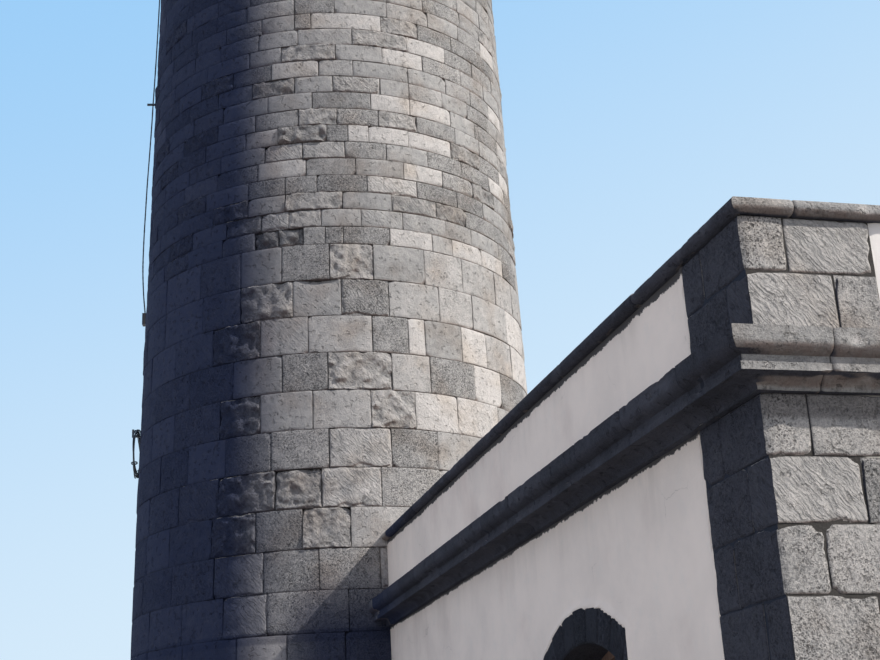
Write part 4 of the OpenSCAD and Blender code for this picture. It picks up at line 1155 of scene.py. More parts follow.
class LIGHTHOUSE_OT_window_bars(bpy.types.Operator):
    """Puts casement rails, glazing bars and hinges into the windows"""
    bl_idname = "lighthouse.window_bars"
    bl_label = "Window bars"

    def execute(self, context):
        size, wood = house(), joinery()
        middle = wood.frame_set + wood.frame_t / 2
        left, right = wood.mullion / 2, size.window_half - wood.frame_w
        half_sash, half_bar = wood.sash / 2, wood.bar / 2
        foot, edge = size.sill_z + wood.frame_w, (left + right) / 2
        rails, irons = [], []
        for side, mark in window_places():
            for hand in (-1, 1):
                for x, half_w, half_t in ((left + half_sash, half_sash, 0.024),
                                          (right - half_sash, half_sash, 0.024), (edge, half_bar, 0.019)):
                    top = size.arch_z + np.sqrt((size.arch_r - wood.frame_w) ** 2 - (x + half_w) ** 2)
                    rails.append(wall_box(side, mark + hand * x, (foot + top) / 2, middle,
                                          (half_w, half_t, (top - foot) / 2)))
                for row, level in enumerate(np.linspace(foot + half_sash, 2.31, 4)):
                    halves = (right - left) / 2 - wood.sash, 0.018, half_bar if row else half_sash
                    rails.append(wall_box(side, mark + hand * edge, level, middle, halves))
                for level in (foot + 0.18, 2.12):
                    irons.append(wall_box(side, mark + hand * (right - 0.012), level, wood.frame_set - 0.002,
                                          (0.022, 0.004, 0.05)))
        lay_piece("casement_bars", [box_array(rails, soften=0.003)], TIMBER, sharp=30)
        lay_piece("casement_hinges", [box_array(irons, soften=0.001)], DARK_IRON, sharp=30)
        return {"FINISHED"}


def entrance_irons():
    """Strap hinges with their studs, a lock plate and a ring handle on the leaves of the entrance."""
    size, wood = house(), joinery()
    face, handle = wood.frame_set, size.half_l + 0.055
    boxes, studs = [], []
    for hand in (-1, 1):
        for level, long in ((0.355, wood.strap), (1.30, wood.strap), (2.28, 0.1)):
            x = size.half_l + hand * (size.window_half - 0.012 - long / 2)
            boxes.append(wall_box(2, x, level, face - 0.003, (long / 2, 0.004, 0.024)))
            studs += [on_wall(2, x + step * long, level, face - 0.007) for step in (-0.36, -0.12, 0.12, 0.36)]
    boxes.append(wall_box(2, handle, 1.30, face - 0.003, (0.026, 0.004, 0.10)))
    angle, ring_r = even_turns(24), 0.045
    ring = on_wall(2, handle + ring_r * np.sin(angle), 1.26 - ring_r * np.cos(angle), face - 0.014)
    out = np.append(house_walls()[2][2], 0)
    return [box_array(boxes, 0.002), round_heads(np.array(studs), out, radius=0.011, height=0.007),
            tube(ring, 0.006, 8, closed=True)]


def watch_door_irons():
    """Hinges, lock plate, bands of rivets and a lever on the watch room's iron door, which looks to +Y."""
    top, wood = head(), joinery()
    face = np.sqrt(top.watch_r ** 2 - wood.door_w ** 2) - wood.door_set
    boxes = [((x, face + 0.004, top.watch_z + level), (half_w, 0.005, half_h), 0.0)
             for x, level, half_w, half_h in ((-0.27, 0.25, 0.075, 0.022), (-0.27, 1.62, 0.075, 0.022),
                                              (0.29, 0.98, 0.022, 0.085))]
    rivets = [(x, face, top.watch_z + level) for x in (-0.32, 0.32) for level in np.linspace(0.04, 1.86, 19)]
    rivets += [(x, face, top.watch_z + level) for x in np.linspace(-0.24, 0.24, 6)
               for level in (0.04, 0.95, 1.86)]
    lever = np.array([(0.29, 0.008, 1.0), (0.29, 0.045, 1.0), (0.27, 0.052, 0.998), (0.18, 0.052, 0.985)])
    lever = smooth_path(lever + np.array([0, face, top.watch_z]), 5)
    return [box_array(boxes, 0.002), round_heads(np.array(rivets), np.array([0, 1.0, 0]), 0.010, 0.006),
            tube(lever, 0.009, 8)]


class LIGHTHOUSE_OT_door_irons(bpy.types.Operator):
    """Hangs the doors on strap hinges and gives them handles, lock plates and rivets"""
    bl_idname = "lighthouse.door_irons"
    bl_label = "Door irons"

    def execute(self, context):
        lay_piece("door_irons", entrance_irons() + watch_door_irons(), DARK_IRON, sharp=35)
        return {"FINISHED"}


# Tower head

class LIGHTHOUSE_OT_head_stones(bpy.types.Operator):
    """Lays the ashlar of the tower head: frieze, corona and the edge of the gallery floor"""
    bl_idname = "lighthouse.head_stones"
    bl_label = "Tower head stones"

    def execute(self, context):
        top = head()
        rng = np.random.default_rng(131)
        face, count = shaft_face(top.shaft_top), 24
        step, gap = 360 / count, 0.004
        parts = []
        for number, (radius, foot, crown) in enumerate((
                (face, top.frieze_foot + gap, top.frieze_top - gap),
                (face + 0.48, top.frieze_top + 0.082, top.gallery_z - 0.003),
                (face + top.gallery_out, top.gallery_z + gap, top.watch_z - gap))):
            starts = (np.arange(count) + 0.5 * number) * step
            rects = rows_of(starts * DEGREE + gap, (starts + step) * DEGREE - gap, foot, crown)
            kinds = common_kinds(count, rng, 0.3)
            kinds.update(proud=rng.normal(0.007, 0.0012, count), tone=rng.normal(0.5, 0.06, count))
            limit_chips(kinds, 0.05)

            def place(along, level, out, radius=radius):
                return round_wall(along, level, radius + out)
            parts.append(stone_shells(rects, kinds, place, 14, 7, 0.02, 140 + number))
        lay_piece("head_ashlar", parts, ASHLAR)
        return {"FINISHED"}


def lantern_plating():
    """On each side of the lantern: four rows of rivets, three riveted straps, and putty round both panes."""
    top = head()
    half_turn = np.pi / top.sides
    flat, half_side = top.lantern_r * np.cos(half_turn), top.lantern_r * np.sin(half_turn)
    putty = (top.lantern_r - top.glazing_bar / 2) * np.cos(half_turn) + 0.014
    bay = (top.lantern_r - top.glazing_bar) * np.sin(half_turn) - top.glazing_bar / 2
    rise, bead = (top.glazing_h - top.glazing_bar) / 2, 0.008
    parts, straps, beads = [], [], []
    for turn in even_turns(top.sides):
        row = np.linspace(-half_side + 0.05, half_side - 0.05, 12)
        rivets = [round_spot(turn, flat + 0.0242, row, top.lantern_z + level)
                  for level in (0.02, 0.05, 0.65, 0.68)]
        for edge in (-half_side + 0.045, 0.0, half_side - 0.045):
            rivets.append(round_spot(turn, flat + 0.006, edge, top.lantern_z + np.linspace(0.12, 0.58, 8)))
            straps.append((round_spot(turn, flat + 0.002, edge, top.lantern_z + top.base_h / 2),
                           (0.004, 0.028, top.base_h / 2 - 0.071), turn))
        parts.append(round_heads(np.concatenate(rivets), directions(turn)[0], top.rivet / 2, 0.010))
        for row in (0, 1):
            low = top.lantern_z + top.base_h + top.glazing_bar + row * rise
            high = low + rise - top.glazing_bar
            beads += [(round_spot(turn, putty, 0, level), (bead, bay, bead), turn)
                      for level in (low + bead, high - bead)]
            beads += [(round_spot(turn, putty, hand * (bay - bead), (low + high) / 2),
                       (bead, bead, (high - low) / 2), turn) for hand in (-1, 1)]
    return parts + [box_array(straps, 0.001), box_array(beads, 0.002)]


def railing_feet():
    """A foot plate with four bolts under each post of the gallery's railing, and a knob on top of it."""
    top = head()
    turns = even_turns(top.posts) + np.pi / top.posts
    post_r, plate, bolt = shaft_face(top.shaft_top) + top.gallery_out - 0.11, 0.007, 0.045
    hubs = round_spot(turns, post_r, 0, top.watch_z + plate)
    bolts = [round_spot(turns, post_r + a * bolt, b * bolt, top.watch_z + 2 * plate)
             for a in (-1, 1) for b in (-1, 1)]
    return [box_array([(hub, (0.065, 0.065, plate), turn) for hub, turn in zip(hubs, turns)], 0.002),
            round_heads(np.concatenate(bolts), UP, 0.010, 0.010),
            round_heads(hubs + top.rail_h * UP, UP, 0.034, 0.030)]


def copper_seams():
    """Lapped seams of the copper over the middle of each side, and two rolled rings round the dome."""
    top = head()
    ball = (top.dome_r ** 2 + top.dome_rise ** 2) / (2 * top.dome_rise)
    centre = top.lantern_z + top.base_h + top.glazing_h + top.gutter_h + top.dome_rise - ball
    swing = np.linspace(np.arcsin(0.19 / ball), np.arcsin(top.dome_r / ball) - 0.01, 30)
    raised = ball + 0.002
    seams = [tube(round_spot(turn, raised * np.sin(swing), 0, centre + raised * np.cos(swing)), 0.011, 6)
             for turn in even_turns(top.sides)]
    for share, wire in ((0.985, 0.016), (0.62, 0.009)):
        radius = top.dome_r * share
        ring = round_spot(even_turns(144), radius, 0, centre + np.sqrt(ball ** 2 - radius ** 2))
        seams.append(tube(ring, wire, 8, closed=True))
    return seams


class LIGHTHOUSE_OT_lantern_irons(bpy.types.Operator):
    """Rivets the lantern's plates, putties its panes, bolts the railing down and seams the copper"""
    bl_idname = "lighthouse.lantern_irons"
    bl_label = "Lantern irons"

    def execute(self, context):
        lay_piece("lantern_plating", lantern_plating(), WHITE_IRON, sharp=35)
        lay_piece("railing_feet", railing_feet(), DARK_IRON, sharp=35)
        lay_piece("copper_seams", copper_seams(), COPPER, sharp=60)
        return {"FINISHED"}


# Materials. A recipe is a function that adds nodes with put and returns what the shader's sockets hold

# Sockets that values fill in order, where that isn't simply the first ones
SOCKETS = {"Mix": (0, 6, 7), "TexNoise": (0, 2, 3, 4), "TexVoronoi": (0, 2),
           "Bump": ("Height", "Distance", "Normal", "Strength")}
# Settings that every node of a kind has here
USUAL = {"Mix": {"data_type": "RGBA"}, "MapRange": {"interpolation_type": "SMOOTHSTEP"}}


def fill(node, sockets):
    """Fills sockets of a node with numbers, colours or the outputs of other nodes. A row of an output and two
    or four numbers is that output, eased from the first range to the second, or to 0 to 1."""
    for key, value in sockets.items():
        socket = node.inputs[key]
        if isinstance(value, tuple) and isinstance(value[0], bpy.types.NodeSocket):
            value = add(node.id_data, "MapRange", *value)
        if isinstance(value, bpy.types.NodeSocket):
            node.id_data.links.new(value, socket)
        elif value is not None:
            value = linear(value) if isinstance(value, str) else value
            socket.default_value = (*value, 1.0) if socket.type == "RGBA" else value


def add(tree, kind, *values, out=None, **settings):
    """Adds a node and returns its output, or those that out names. A kind in capitals is an operation of the
    Math node, done in turn over all its values. A setting with a capital fills a socket, others don't."""
    if kind.isupper():
        if len(values) > 2:
            values = add(tree, kind, *values[:-1]), values[-1]
        kind, settings = "Math", {"operation": kind}
    node = tree.nodes.new("ShaderNode" + kind)
    sockets = dict(zip(SOCKETS.get(kind, range(len(values))), values))
    for key, value in {**USUAL.get(kind, {}), **settings}.items():
        if key[0].isupper():
            sockets[key] = value
        else:
            setattr(node, key, value)
    fill(node, sockets)
    if isinstance(out, tuple):
        return [node.outputs[key] for key in out]
    return node.outputs[(2 if kind == "Mix" else 0) if out is None else out]


def material(name):
    """The material of that name, made by its recipe the first time that it is asked for."""
    if name not in bpy.data.materials:
        made = bpy.data.materials.new(name)
        made.use_nodes = True
        put = partial(add, made.node_tree)
        looks = RECIPES[name](put, put("TexCoord", out="Object"), tints())
        fill(made.node_tree.nodes["Principled BSDF"], looks)
    return bpy.data.materials[name]


def shaded_side(put):
    """Painted shade: 1 where the stonework is painted dark for the shade on it, 0 on the sunny faces: faces
    turned away from the sun, the corner of the house front, the shaft's foot beside that front, where the
    parapet's shadow falls, and the reveals of its windows."""
    facing, spot = put("NewGeometry", out="Normal"), put("TexCoord", out="Object")
    flat = put("VectorMath", spot, (1.0, 1.0, 0.0), operation="MULTIPLY")
    radius = put("VectorMath", flat, operation="LENGTH", out="Value")
    # On the shaft the painted shade follows the round of the tower, not each stone's own face
    outward = put("VectorMath", flat, operation="NORMALIZE")
    way = put("Mix", (radius, 3.35, 3.3), facing, outward)
    lean = put("VectorMath", way, (-0.62, -0.79, 0.0), operation="DOT_PRODUCT", out="Value")
    x, y, z = put("SeparateXYZ", spot, out=(0, 1, 2))
    look_x, look_z = put("SeparateXYZ", facing, out=(0, 2))
    away = put("ABSOLUTE", x)
    # Painted shade: dark on faces turned from the sun, easing off towards the lit side; faces that look up
    # are spared
    shaded = put("MapRange", lean, -0.60, 0.02)
    shaded = put("MAXIMUM", put("MULTIPLY", shaded, shaded), (lean, -0.95, 0.05, 0.0, 0.42))
    shaded = put("MULTIPLY", shaded, (look_z, 0.85, 0.55))
    # Painted shade on the house front's stonework, which looks away from the sun, apart from its faces that
    # look up or to the sunny end
    corner = put("MAXIMUM", (look_x, 0.5, 0.2), (away, 13.62, 13.55))
    front = put("MULTIPLY", (y, 0.12, 0.05), corner, (z, 5.1, 5.0), (look_z, 0.75, 0.4), (away, 3.2, 3.4))
    # Painted shadow on the shaft's foot beside the house front, where the parapet's shadow falls
    foot = put("MULTIPLY", (y, -2.0, -0.7), (z, 5.0, 3.6, 0, 0.95), (away, 3.5, 3.2), (y, 0.9, 0.5))
    # Painted shade in the reveals of the front's windows
    reveal = put("MULTIPLY", (y, 0.60, 0.40, 0, 0.9), (z, 3.1, 2.9), (away, 13.1, 13.0), (away, 3.3, 3.5))
    return put("MAXIMUM", shaded, reveal, front, foot)


def pushed(put, where, push, reach):
    """Coordinates pushed about by a noise's colour, as far as reach."""
    return put("VectorMath", where, put("VectorMath", push, reach, operation="MULTIPLY"), operation="ADD")


def chisel_marks(put, tool):
    """Marks of the point chisel: streaks of 24 by 130 mm aslant over the wall coordinates, pushed about by
    up to 90 mm, where the stone's tool trait asks for them."""
    wall = put("UVMap", uv_map="wall")
    wall = pushed(put, wall, put("TexNoise", wall, 6.0, 3.0, out="Color"), (0.09, 0.09, 0.0))
    slant = put("Mapping", wall, Rotation=(0, 0, 0.72), Scale=(0.024, 0.13, 1), vector_type="TEXTURE")
    streaks = put("TexNoise", slant, 1.0, 2.0, 0.55)
    return put("MULTIPLY", put("SUBTRACT", streaks, 0.5), (tool, 0.25, 0.75))


def shade_layer(put, tint, level, cloud, x, z):
    """Where the painted shade sits, and its colour: a near-black blue that stands in for the shade on the
    stonework. It thins out high on the shaft and round the shaft's left side; away from the tower it is
    greyer."""
    away = put("ABSOLUTE", x)
    left = put("MULTIPLY", (x, -0.9, -2.6, 0, 0.55), (away, 3.35, 3.25))
    share = put("MULTIPLY", shaded_side(put), (cloud, 0.2, 0.6, 0.92, 0.97),
                (z, 13.2, 25.0, 1.0, 0.4), put("SUBTRACT", 1.0, left))
    # Painted shade colours: a near-black blue by the tower, greyer on the house
    tower_shade = put("Mix", (level, 0.2, 0.9, 0.1, 0.5), tint.painted_shade, "#303b58")
    house_shade = put("Mix", (level, 0.2, 0.9), "#24262f", "#454752")
    return share, put("Mix", (away, 3.2, 5.5), tower_shade, house_shade)


def basalt(put, where, tint, dressed=True):
    """Vesicular basalt cut by hand: matt, mottled in patches of 0.2 to 0.4 m, gas holes of 3 to 12 mm, marks
    of the point chisel and lime bloom, with painted shade: a near-black blue on the faces away from the sun,
    darker, browner undersides and a dark band under the cornice. A dressed stone's tone, pits and tooling
    come from its traits."""
    patch = put("TexNoise", where, 3.2, 6.0, 0.62)
    cloud = put("TexNoise", where, 11.0, 8.0, 0.7)
    speck = put("TexNoise", where, 46.0, 4.0, 0.7)
    sand = put("TexNoise", where, 130.0, 3.0, 0.7)
    if dressed:
        shades, tool = put("Attribute", attribute_name="stone", out=("Color", "Alpha"))
        tone, holes, rim = put("SeparateColor", shades, out=(0, 1, 2))
    else:
        tone = put("SeparateColor", put("TexVoronoi", where, 1.6, out="Color"))
        tone, holes, rim = put("MapRange", tone, 0, 1, 0.3, 0.62), 0.6, 0.0
    dust = put("ADD", (speck, 0.3, 0.7, -0.2, 0.2), (sand, 0.3, 0.7, -0.2, 0.2))
    level = put("ADD", tone, (patch, 0.25, 0.75, -0.07, 0.07), (cloud, 0.25, 0.75, -0.10, 0.10),
                put("MULTIPLY", dust, put("MapRange", holes, 0, 0.9, 0.15, 1.15)))
    if dressed:
        marks = chisel_marks(put, tool)
        level = put("ADD", level, put("MULTIPLY", marks, 0.7))
    paint = put("ValToRGB", level)
    band = paint.node.color_ramp
    band.elements[0].color = (*tint.basalt_dark, 1.0)
    band.elements[1].color = (*tint.basalt_pale, 1.0)
    band.elements.new(0.5).color = (*tint.basalt_mid, 1.0)
    warm = put("MapRange", put("TexNoise", where, 1.7, 3.0, 0.5), 0.45, 0.75, 0, 0.35)
    paint = put("Mix", warm, paint, "#8d7a66", blend_type="OVERLAY")
    # Gas holes: two sizes, only where the lava frothed. The colour paints them dark as well: painted shade in
    # the hollows, beside their dents in the bump
    froth = put("MapRange", put("TexNoise", where, 4.3, 4.0, 0.55), 0.30, 0.56)
    bent = pushed(put, where, put("TexNoise", where, 30.0, out="Color"), (0.035,) * 3)
    small = put("MapRange", put("TexVoronoi", bent, 75.0), 0.42, 0.20)
    large = put("MapRange", put("TexVoronoi", bent, 28.0), 0.34, 0.16)
    hole = put("MULTIPLY", put("MAXIMUM", small, large), put("MULTIPLY", froth, holes))
    # Bloom of lime and dust, painted shade on the undersides of the mouldings, a painted shadow under the
    # cornice, and lime along the cornice
    bloom = put("MapRange", put("TexNoise", where, 2.3, 9.0, 0.72), 0.58, 0.72, 0, 0.32)
    looks = put("SeparateXYZ", put("NewGeometry", out="Normal"), out=2)
    # Painted shade: faces that look down are painted darker and browner
    brown = put("MULTIPLY", (looks, -0.1, -0.55), (cloud, 0.3, 0.6, 0.4, 0.85))
    x, z = put("SeparateXYZ", where, out=(0, 2))
    # Painted shadow: a dark band round the walls just under the cornice, where its shadow falls
    cornice_shadow = put("MULTIPLY", (z, 3.56, 3.60, 0, 0.5), (z, 3.735, 3.725))
    lime = put("MULTIPLY", (z, 4.13, 4.06), (z, 4.045, 4.05), (cloud, 0.55, 0.62, 0, 0.8))
    for share, over in ((put("MULTIPLY", hole, 0.62), "#1d1b1a"),
                        (put("MapRange", rim, 0.55, 1.0, 0, 0.38), "#393430"), (bloom, "#cbc3b6"),
                        (brown, "#85736a"), (cornice_shadow, "#4b4543"), (lime, "#e6e1da"),
                        shade_layer(put, tint, level, cloud, x, z)):
        paint = put("Mix", share, paint, over)
    grit = put("MULTIPLY", speck, put("MapRange", holes, 0, 0.8, 0.4, 1.0))
    heights = [(patch, 0.010, 0.5), (cloud, 0.024, 1.0), (grit, 0.018, 1.0)]
    if dressed:
        # Faces split with a wedge and left rough: breaks 40 to 100 mm across
        breaks = put("TexNoise", bent, 11.0, 7.0, 0.62, Distortion=0.6)
        breaks = put("MULTIPLY", breaks, (tool, 1.3, 1.8))
        heights += [(marks, 0.045, 1.0), (breaks, 0.10, 1.0)]
    dent = put("MapRange", put("TexNoise", where, 14.0, 4.0, 0.5), 0.59, 0.70)
    heights += [(dent, -0.022, 1.0), (hole, -0.013, 1.0), (sand, 0.0042, 1.0)]
    under = None
    for height, distance, strength in heights:
        under = put("Bump", height, distance, under, strength)
    return {"Base Color": paint, "Roughness": 0.9, "Specular IOR Level": 0.15, "Normal": under}


def joint_core(put, where, tint):
    """What shows between the stones: perished lime mortar, dark and sandy; indoors limewashed rubble."""
    x, y, z = put("SeparateXYZ", where, out=(0, 1, 2))
    away = put("SQRT", put("ADD", put("POWER", x, 2.0), put("POWER", y, 2.0)))
    room = put("MULTIPLY", (y, 0.68, 0.72), (z, 3.80, 3.76))
    outside = put("MULTIPLY", (away, 2.1, 2.2), put("SUBTRACT", 1.0, room))
    sand = put("TexNoise", where, 60.0, 6.0, 0.7)
    patch = put("TexNoise", where, 2.5, 6.0, 0.6)
    dark = put("Mix", sand, tint.mortar, "#4a443d")
    # Painted shade: joints on the side away from the sun are painted near-black blue, like the stones there
    dark = put("Mix", put("MULTIPLY", shaded_side(put), 0.95), dark, "#151b2b")
    pale = put("Mix", patch, tint.limewash, "#a9a194")
    return {"Base Color": put("Mix", outside, pale, dark), "Roughness": 0.95,
            "Normal": put("Bump", sand, 0.006, put("Bump", patch, 0.02))}


def lime_plaster(put, where, tint):
    """Lime plaster under old limewash: chalky, floated, hairline crazed, with grey runs under the ledges."""
    y, z = put("SeparateXYZ", where, out=(1, 2))
    patch = put("TexNoise", where, 1.1, 6.0, 0.6)
    cloud = put("TexNoise", where, 7.0, 6.0, 0.65)
    sand = put("TexNoise", where, 220.0, 2.0, 0.6)
    # Lit and shaded copies of the plaster, painted light: the front, in shade, keeps the bright cream; the
    # sunlit end walls are painted a little darker and the rear wall, which the sun strikes more squarely,
    # darker still
    dusty = put("Mix", (patch, 0.3, 0.7), "#d6d1cb", "#ccc6c0")
    dusty = put("Mix", (y, 11.4, 11.3, 0, 0.75), dusty, "#f7f2ec")
    runs = put("TexNoise", put("Mapping", where, Scale=(4.0, 4.0, 0.45)), 1.0, 5.0, 0.6)
    under_cornice = put("MULTIPLY", (z, 3.0, 3.72), (z, 3.80, 3.74))
    ledges = put("MAXIMUM", under_cornice, (z, 4.35, 4.83), (z, 1.1, 0.45, 0, 0.8))
    runs = put("MULTIPLY", (runs, 0.42, 0.78), ledges, 0.22)
    blush = put("MapRange", put("TexNoise", where, 0.8, 5.0, 0.6), 0.5, 0.75, 0, 0.35)
    edge = put("SeparateColor", put("Attribute", attribute_name="stone", out="Color"), out=2)
    drift = pushed(put, where, put("TexNoise", where, 2.4, 6.0, out="Color"), (0.55,) * 3)
    crack = put("MapRange", put("TexVoronoi", drift, 1.3, feature="DISTANCE_TO_EDGE"), 0.004, 0.001)
    crack = put("MULTIPLY", crack, (patch, 0.52, 0.66))
    # Along the front a ragged near-black band is painted along the plaster's upper edge, under the coping and
    # under the cornice: painted shade beneath the ledges
    lip = put("MapRange", put("TexNoise", where, 5.0, 9.0, 0.8), 0.35, 0.65, -0.016, 0.016)
    lip = put("ADD", z, lip)
    ledge_shade = put("MAXIMUM", (lip, 4.788, 4.796), put("MULTIPLY", (lip, 3.696, 3.704), (z, 3.80, 3.79)))
    ledge_shade = put("MULTIPLY", ledge_shade, (y, 0.30, 0.25))
    paint = tint.plaster
    for share, over in (((patch, 0.35, 0.7, 0, 0.4), "#d9cfc6"), ((cloud, 0.5, 0.8, 0, 0.35), "#e9e3da"),
                        ((y, 0.14, 0.2), dusty), (runs, tint.plaster_stain), (blush, "#cdb8ae"),
                        ((edge, 0.4, 1.0, 0, 0.35), "#9d9388"), (put("MULTIPLY", crack, 0.35), "#7a7066"),
                        (put("MULTIPLY", ledge_shade, 0.93), "#22232a")):
        paint = put("Mix", share, paint, over)
    under = None
    for height, distance, strength in ((patch, 0.02, 0.5), (cloud, 0.006, 0.7), (crack, -0.003, 0.6),
                                       (sand, 0.0014, 0.7)):
        under = put("Bump", height, distance, under, strength)
    return {"Base Color": paint, "Roughness": 0.88, "Specular IOR Level": 0.25, "Normal": under}


def limewashed_wall(put, where, tint):
    """Brushed limewash on render: chalk white with grey runs and bare spots at brush scale, 60 mm."""
    patch = put("TexNoise", where, 1.5, 7.0, 0.62)
    brush = put("TexNoise", put("Mapping", where, Scale=(3, 3, 18)), 2.0, 5.0, 0.6)
    runs = put("TexNoise", put("Mapping", where, Scale=(7, 7, 0.6)), 1.0, 5.0, 0.6)
    paint = put("Mix", (patch, 0.4, 0.7, 0, 0.45), tint.limewash, "#b9b2a5")
    return {"Base Color": put("Mix", (runs, 0.52, 0.75, 0, 0.4), paint, "#948a7c"),
            "Roughness": 0.9, "Normal": put("Bump", brush, 0.003, put("Bump", patch, 0.01))}


def flagstones(put, where, tint):
    """Sawn basalt flags, 0.45 m by 0.6 m, joints of 8 mm, dusty."""
    patch = put("TexNoise", where, 2.4, 7.0, 0.65)
    sand = put("TexNoise", where, 90.0, 3.0, 0.6)
    smooth, bias = 0.2, 0.0
    flags, joints = put("TexBrick", where, "#8a8580", "#a29c94", "#4d4842", 1.0, 0.008, smooth, bias,
                        0.6, 0.45, out=("Color", "Fac"))
    under = put("Bump", patch, 0.006, put("Bump", joints, -0.006))
    return {"Base Color": put("Mix", (patch, 0.35, 0.7, 0, 0.5), flags, tint.basalt_mid),
            "Roughness": 0.85, "Normal": put("Bump", sand, 0.002, under)}


def oiled_timber(put, where, tint):
    """Oiled pine gone red-brown: grain 4 to 8 mm apart along each post, dull sheen, patches gone paler."""
    lines = put("TexNoise", put("Mapping", where, Scale=(90, 90, 5)), 1.0, 5.0, 0.6)
    patch = put("TexNoise", where, 4.0, 5.0, 0.6)
    paint = put("Mix", (lines, 0.3, 0.7), "#5a443a", tint.timber)
    return {"Base Color": put("Mix", (patch, 0.5, 0.72, 0, 0.5), paint, "#8a6b52"),
            "Roughness": (patch, 0.3, 0.7, 0.5, 0.75), "Normal": put("Bump", lines, 0.0015)}


def window_pane(put, where, tint):
    """Drawn window glass: clear with a grey-green cast, slightly wavy, a film of salt."""
    salt = put("TexNoise", where, 6.0, 6.0, 0.65)
    wave = put("TexNoise", where, 2.0, 2.0, 0.4)
    return {"Base Color": "#dfe8e6", "Transmission Weight": 0.92, "IOR": 1.5,
            "Roughness": (salt, 0.4, 0.75, 0.03, 0.28),
            "Normal": put("Bump", wave, 0.004, None, 0.3)}


def painted_iron(put, where, tint, tone, rust):
    """Oil paint brushed on iron: satin, chalked, with rust weeping from the seams and edges."""
    patch = put("TexNoise", where, 2.6, 7.0, 0.65)
    runs = put("TexNoise", put("Mapping", where, Scale=(14, 14, 1.1)), 1.0, 6.0, 0.6)
    speck = put("TexNoise", where, 34.0, 5.0, 0.65)
    fresh = getattr(tint, tone)
    chalked = tuple(part * 0.72 for part in fresh)
    paint = put("Mix", (patch, 0.4, 0.7, 0, 0.5), fresh, chalked)
    paint = put("Mix", put("MULTIPLY", (runs, 0.56, 0.72), rust), paint, "#8a5a3a")
    paint = put("Mix", put("MULTIPLY", (speck, 0.66, 0.72), rust), paint, "#4e2c1c")
    return {"Base Color": paint, "Roughness": (patch, 0.3, 0.7, 0.38, 0.62),
            "Normal": put("Bump", speck, 0.0012, put("Bump", patch, 0.002))}


def sheet_copper(put, where, tint):
    """Sheet copper under verdigris: matt green with brown streaks where water runs."""
    patch = put("TexNoise", where, 3.0, 7.0, 0.65)
    runs = put("TexNoise", put("Mapping", where, Scale=(9, 9, 0.9)), 1.0, 6.0, 0.62)
    paint = put("Mix", (patch, 0.35, 0.7), tint.verdigris, "#8fb0a0")
    return {"Base Color": put("Mix", (runs, 0.5, 0.72, 0, 0.75), paint, "#4a3a2e"),
            "Roughness": (patch, 0.3, 0.7, 0.55, 0.8), "Normal": put("Bump", patch, 0.004)}


def galvanised_cable(put, where, tint):
    """Galvanised steel strand: dull zinc grey, greasy dirt between the wires, first rust."""
    patch = put("TexNoise", where, 9.0, 5.0, 0.6)
    paint = put("Mix", (patch, 0.4, 0.7), tint.zinc, "#5d6066")
    return {"Base Color": put("Mix", (patch, 0.62, 0.72, 0, 0.5), paint, "#6b4b38"),
            "Metallic": 0.25, "Roughness": 0.65,
            "Normal": put("Bump", put("TexNoise", where, 300.0, 2.0, 0.6), 0.0006)}


def plain_floor(put, where, tint):
    """The stage's floor: pale to the camera, a little darker where its light falls on the building."""
    seen = put("MAXIMUM", *put("LightPath", out=("Is Camera Ray", "Is Glossy Ray")))
    return {"Base Color": put("Mix", seen, "#9c9a96", tint.ground), "Roughness": 1.0}


ASHLAR = "basalt ashlar, dressed and weathered"
MOULDINGS = "basalt mouldings, badly weathered"
SAWN = "basalt, sawn and weathered"
MORTAR = "lime mortar, perished"
PLASTER = "lime plaster, floated and limewashed"
LIMEWASH = "limewash on render"
FLAGS = "basalt flags, sawn"
TIMBER = "pine joinery, oiled"
GLASS = "drawn window glass"
WHITE_IRON = "cast iron, painted white"
DARK_IRON = "wrought iron, painted dark"
COPPER = "sheet copper, weathered"
ZINC = "galvanised steel strand, weathered"
FLOOR = "plain floor"
RECIPES = {
    ASHLAR: basalt, MOULDINGS: basalt, SAWN: partial(basalt, dressed=False), MORTAR: joint_core,
    PLASTER: lime_plaster, LIMEWASH: limewashed_wall, FLAGS: flagstones, TIMBER: oiled_timber,
    GLASS: window_pane, WHITE_IRON: partial(painted_iron, tone="paint", rust=0.35),
    DARK_IRON: partial(painted_iron, tone="iron", rust=0.8), COPPER: sheet_copper, ZINC: galvanised_cable,
    FLOOR: plain_floor,
}
# The solids of the frame that still show, by their finish
FINISHES = {
    MORTAR: "corner_stones",
    SAWN: "tower_plinth gallery_cornice gallery_corbels gallery_floor plinth_long plinth_ends "
          "window_surrounds entrance_surround",
    FLAGS: "tower_floor house_floor entrance_steps roof_slab",
    TIMBER: "shaft_window_frames window_frames entrance_door",
    GLASS: "lantern_glass window_glass",
    WHITE_IRON: "lantern_base lantern_frame",
    DARK_IRON: "gallery_railing watch_room_door conductor_brackets",
    PLASTER: "front_wall rear_wall end_walls parapet_long parapet_ends",
    LIMEWASH: "watch_room_wall lantern_floor",
    COPPER: "lantern_roof roof_finial",
}


class LIGHTHOUSE_OT_finishes(bpy.types.Operator):
    """Gives each solid of the frame that still shows its own finish"""
    bl_idname = "lighthouse.finishes"
    bl_label = "Finishes"

    def execute(self, context):
        chosen = {node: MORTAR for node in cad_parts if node.startswith(("lower_shaft", "upper_shaft"))}
        for finish, nodes in FINISHES.items():
            chosen.update(dict.fromkeys(nodes.split(), finish))
        for node, finish in chosen.items():
            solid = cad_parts[node]
            solid.data.materials.clear()
            solid.data.materials.append(material(finish))
        return {"FINISHED"}


# Stage

FLOOR_HALF, FLOOR_Z = 260, -0.004
# Direction towards the sun
SUNWARD = (0.465, 0.595, 0.656)
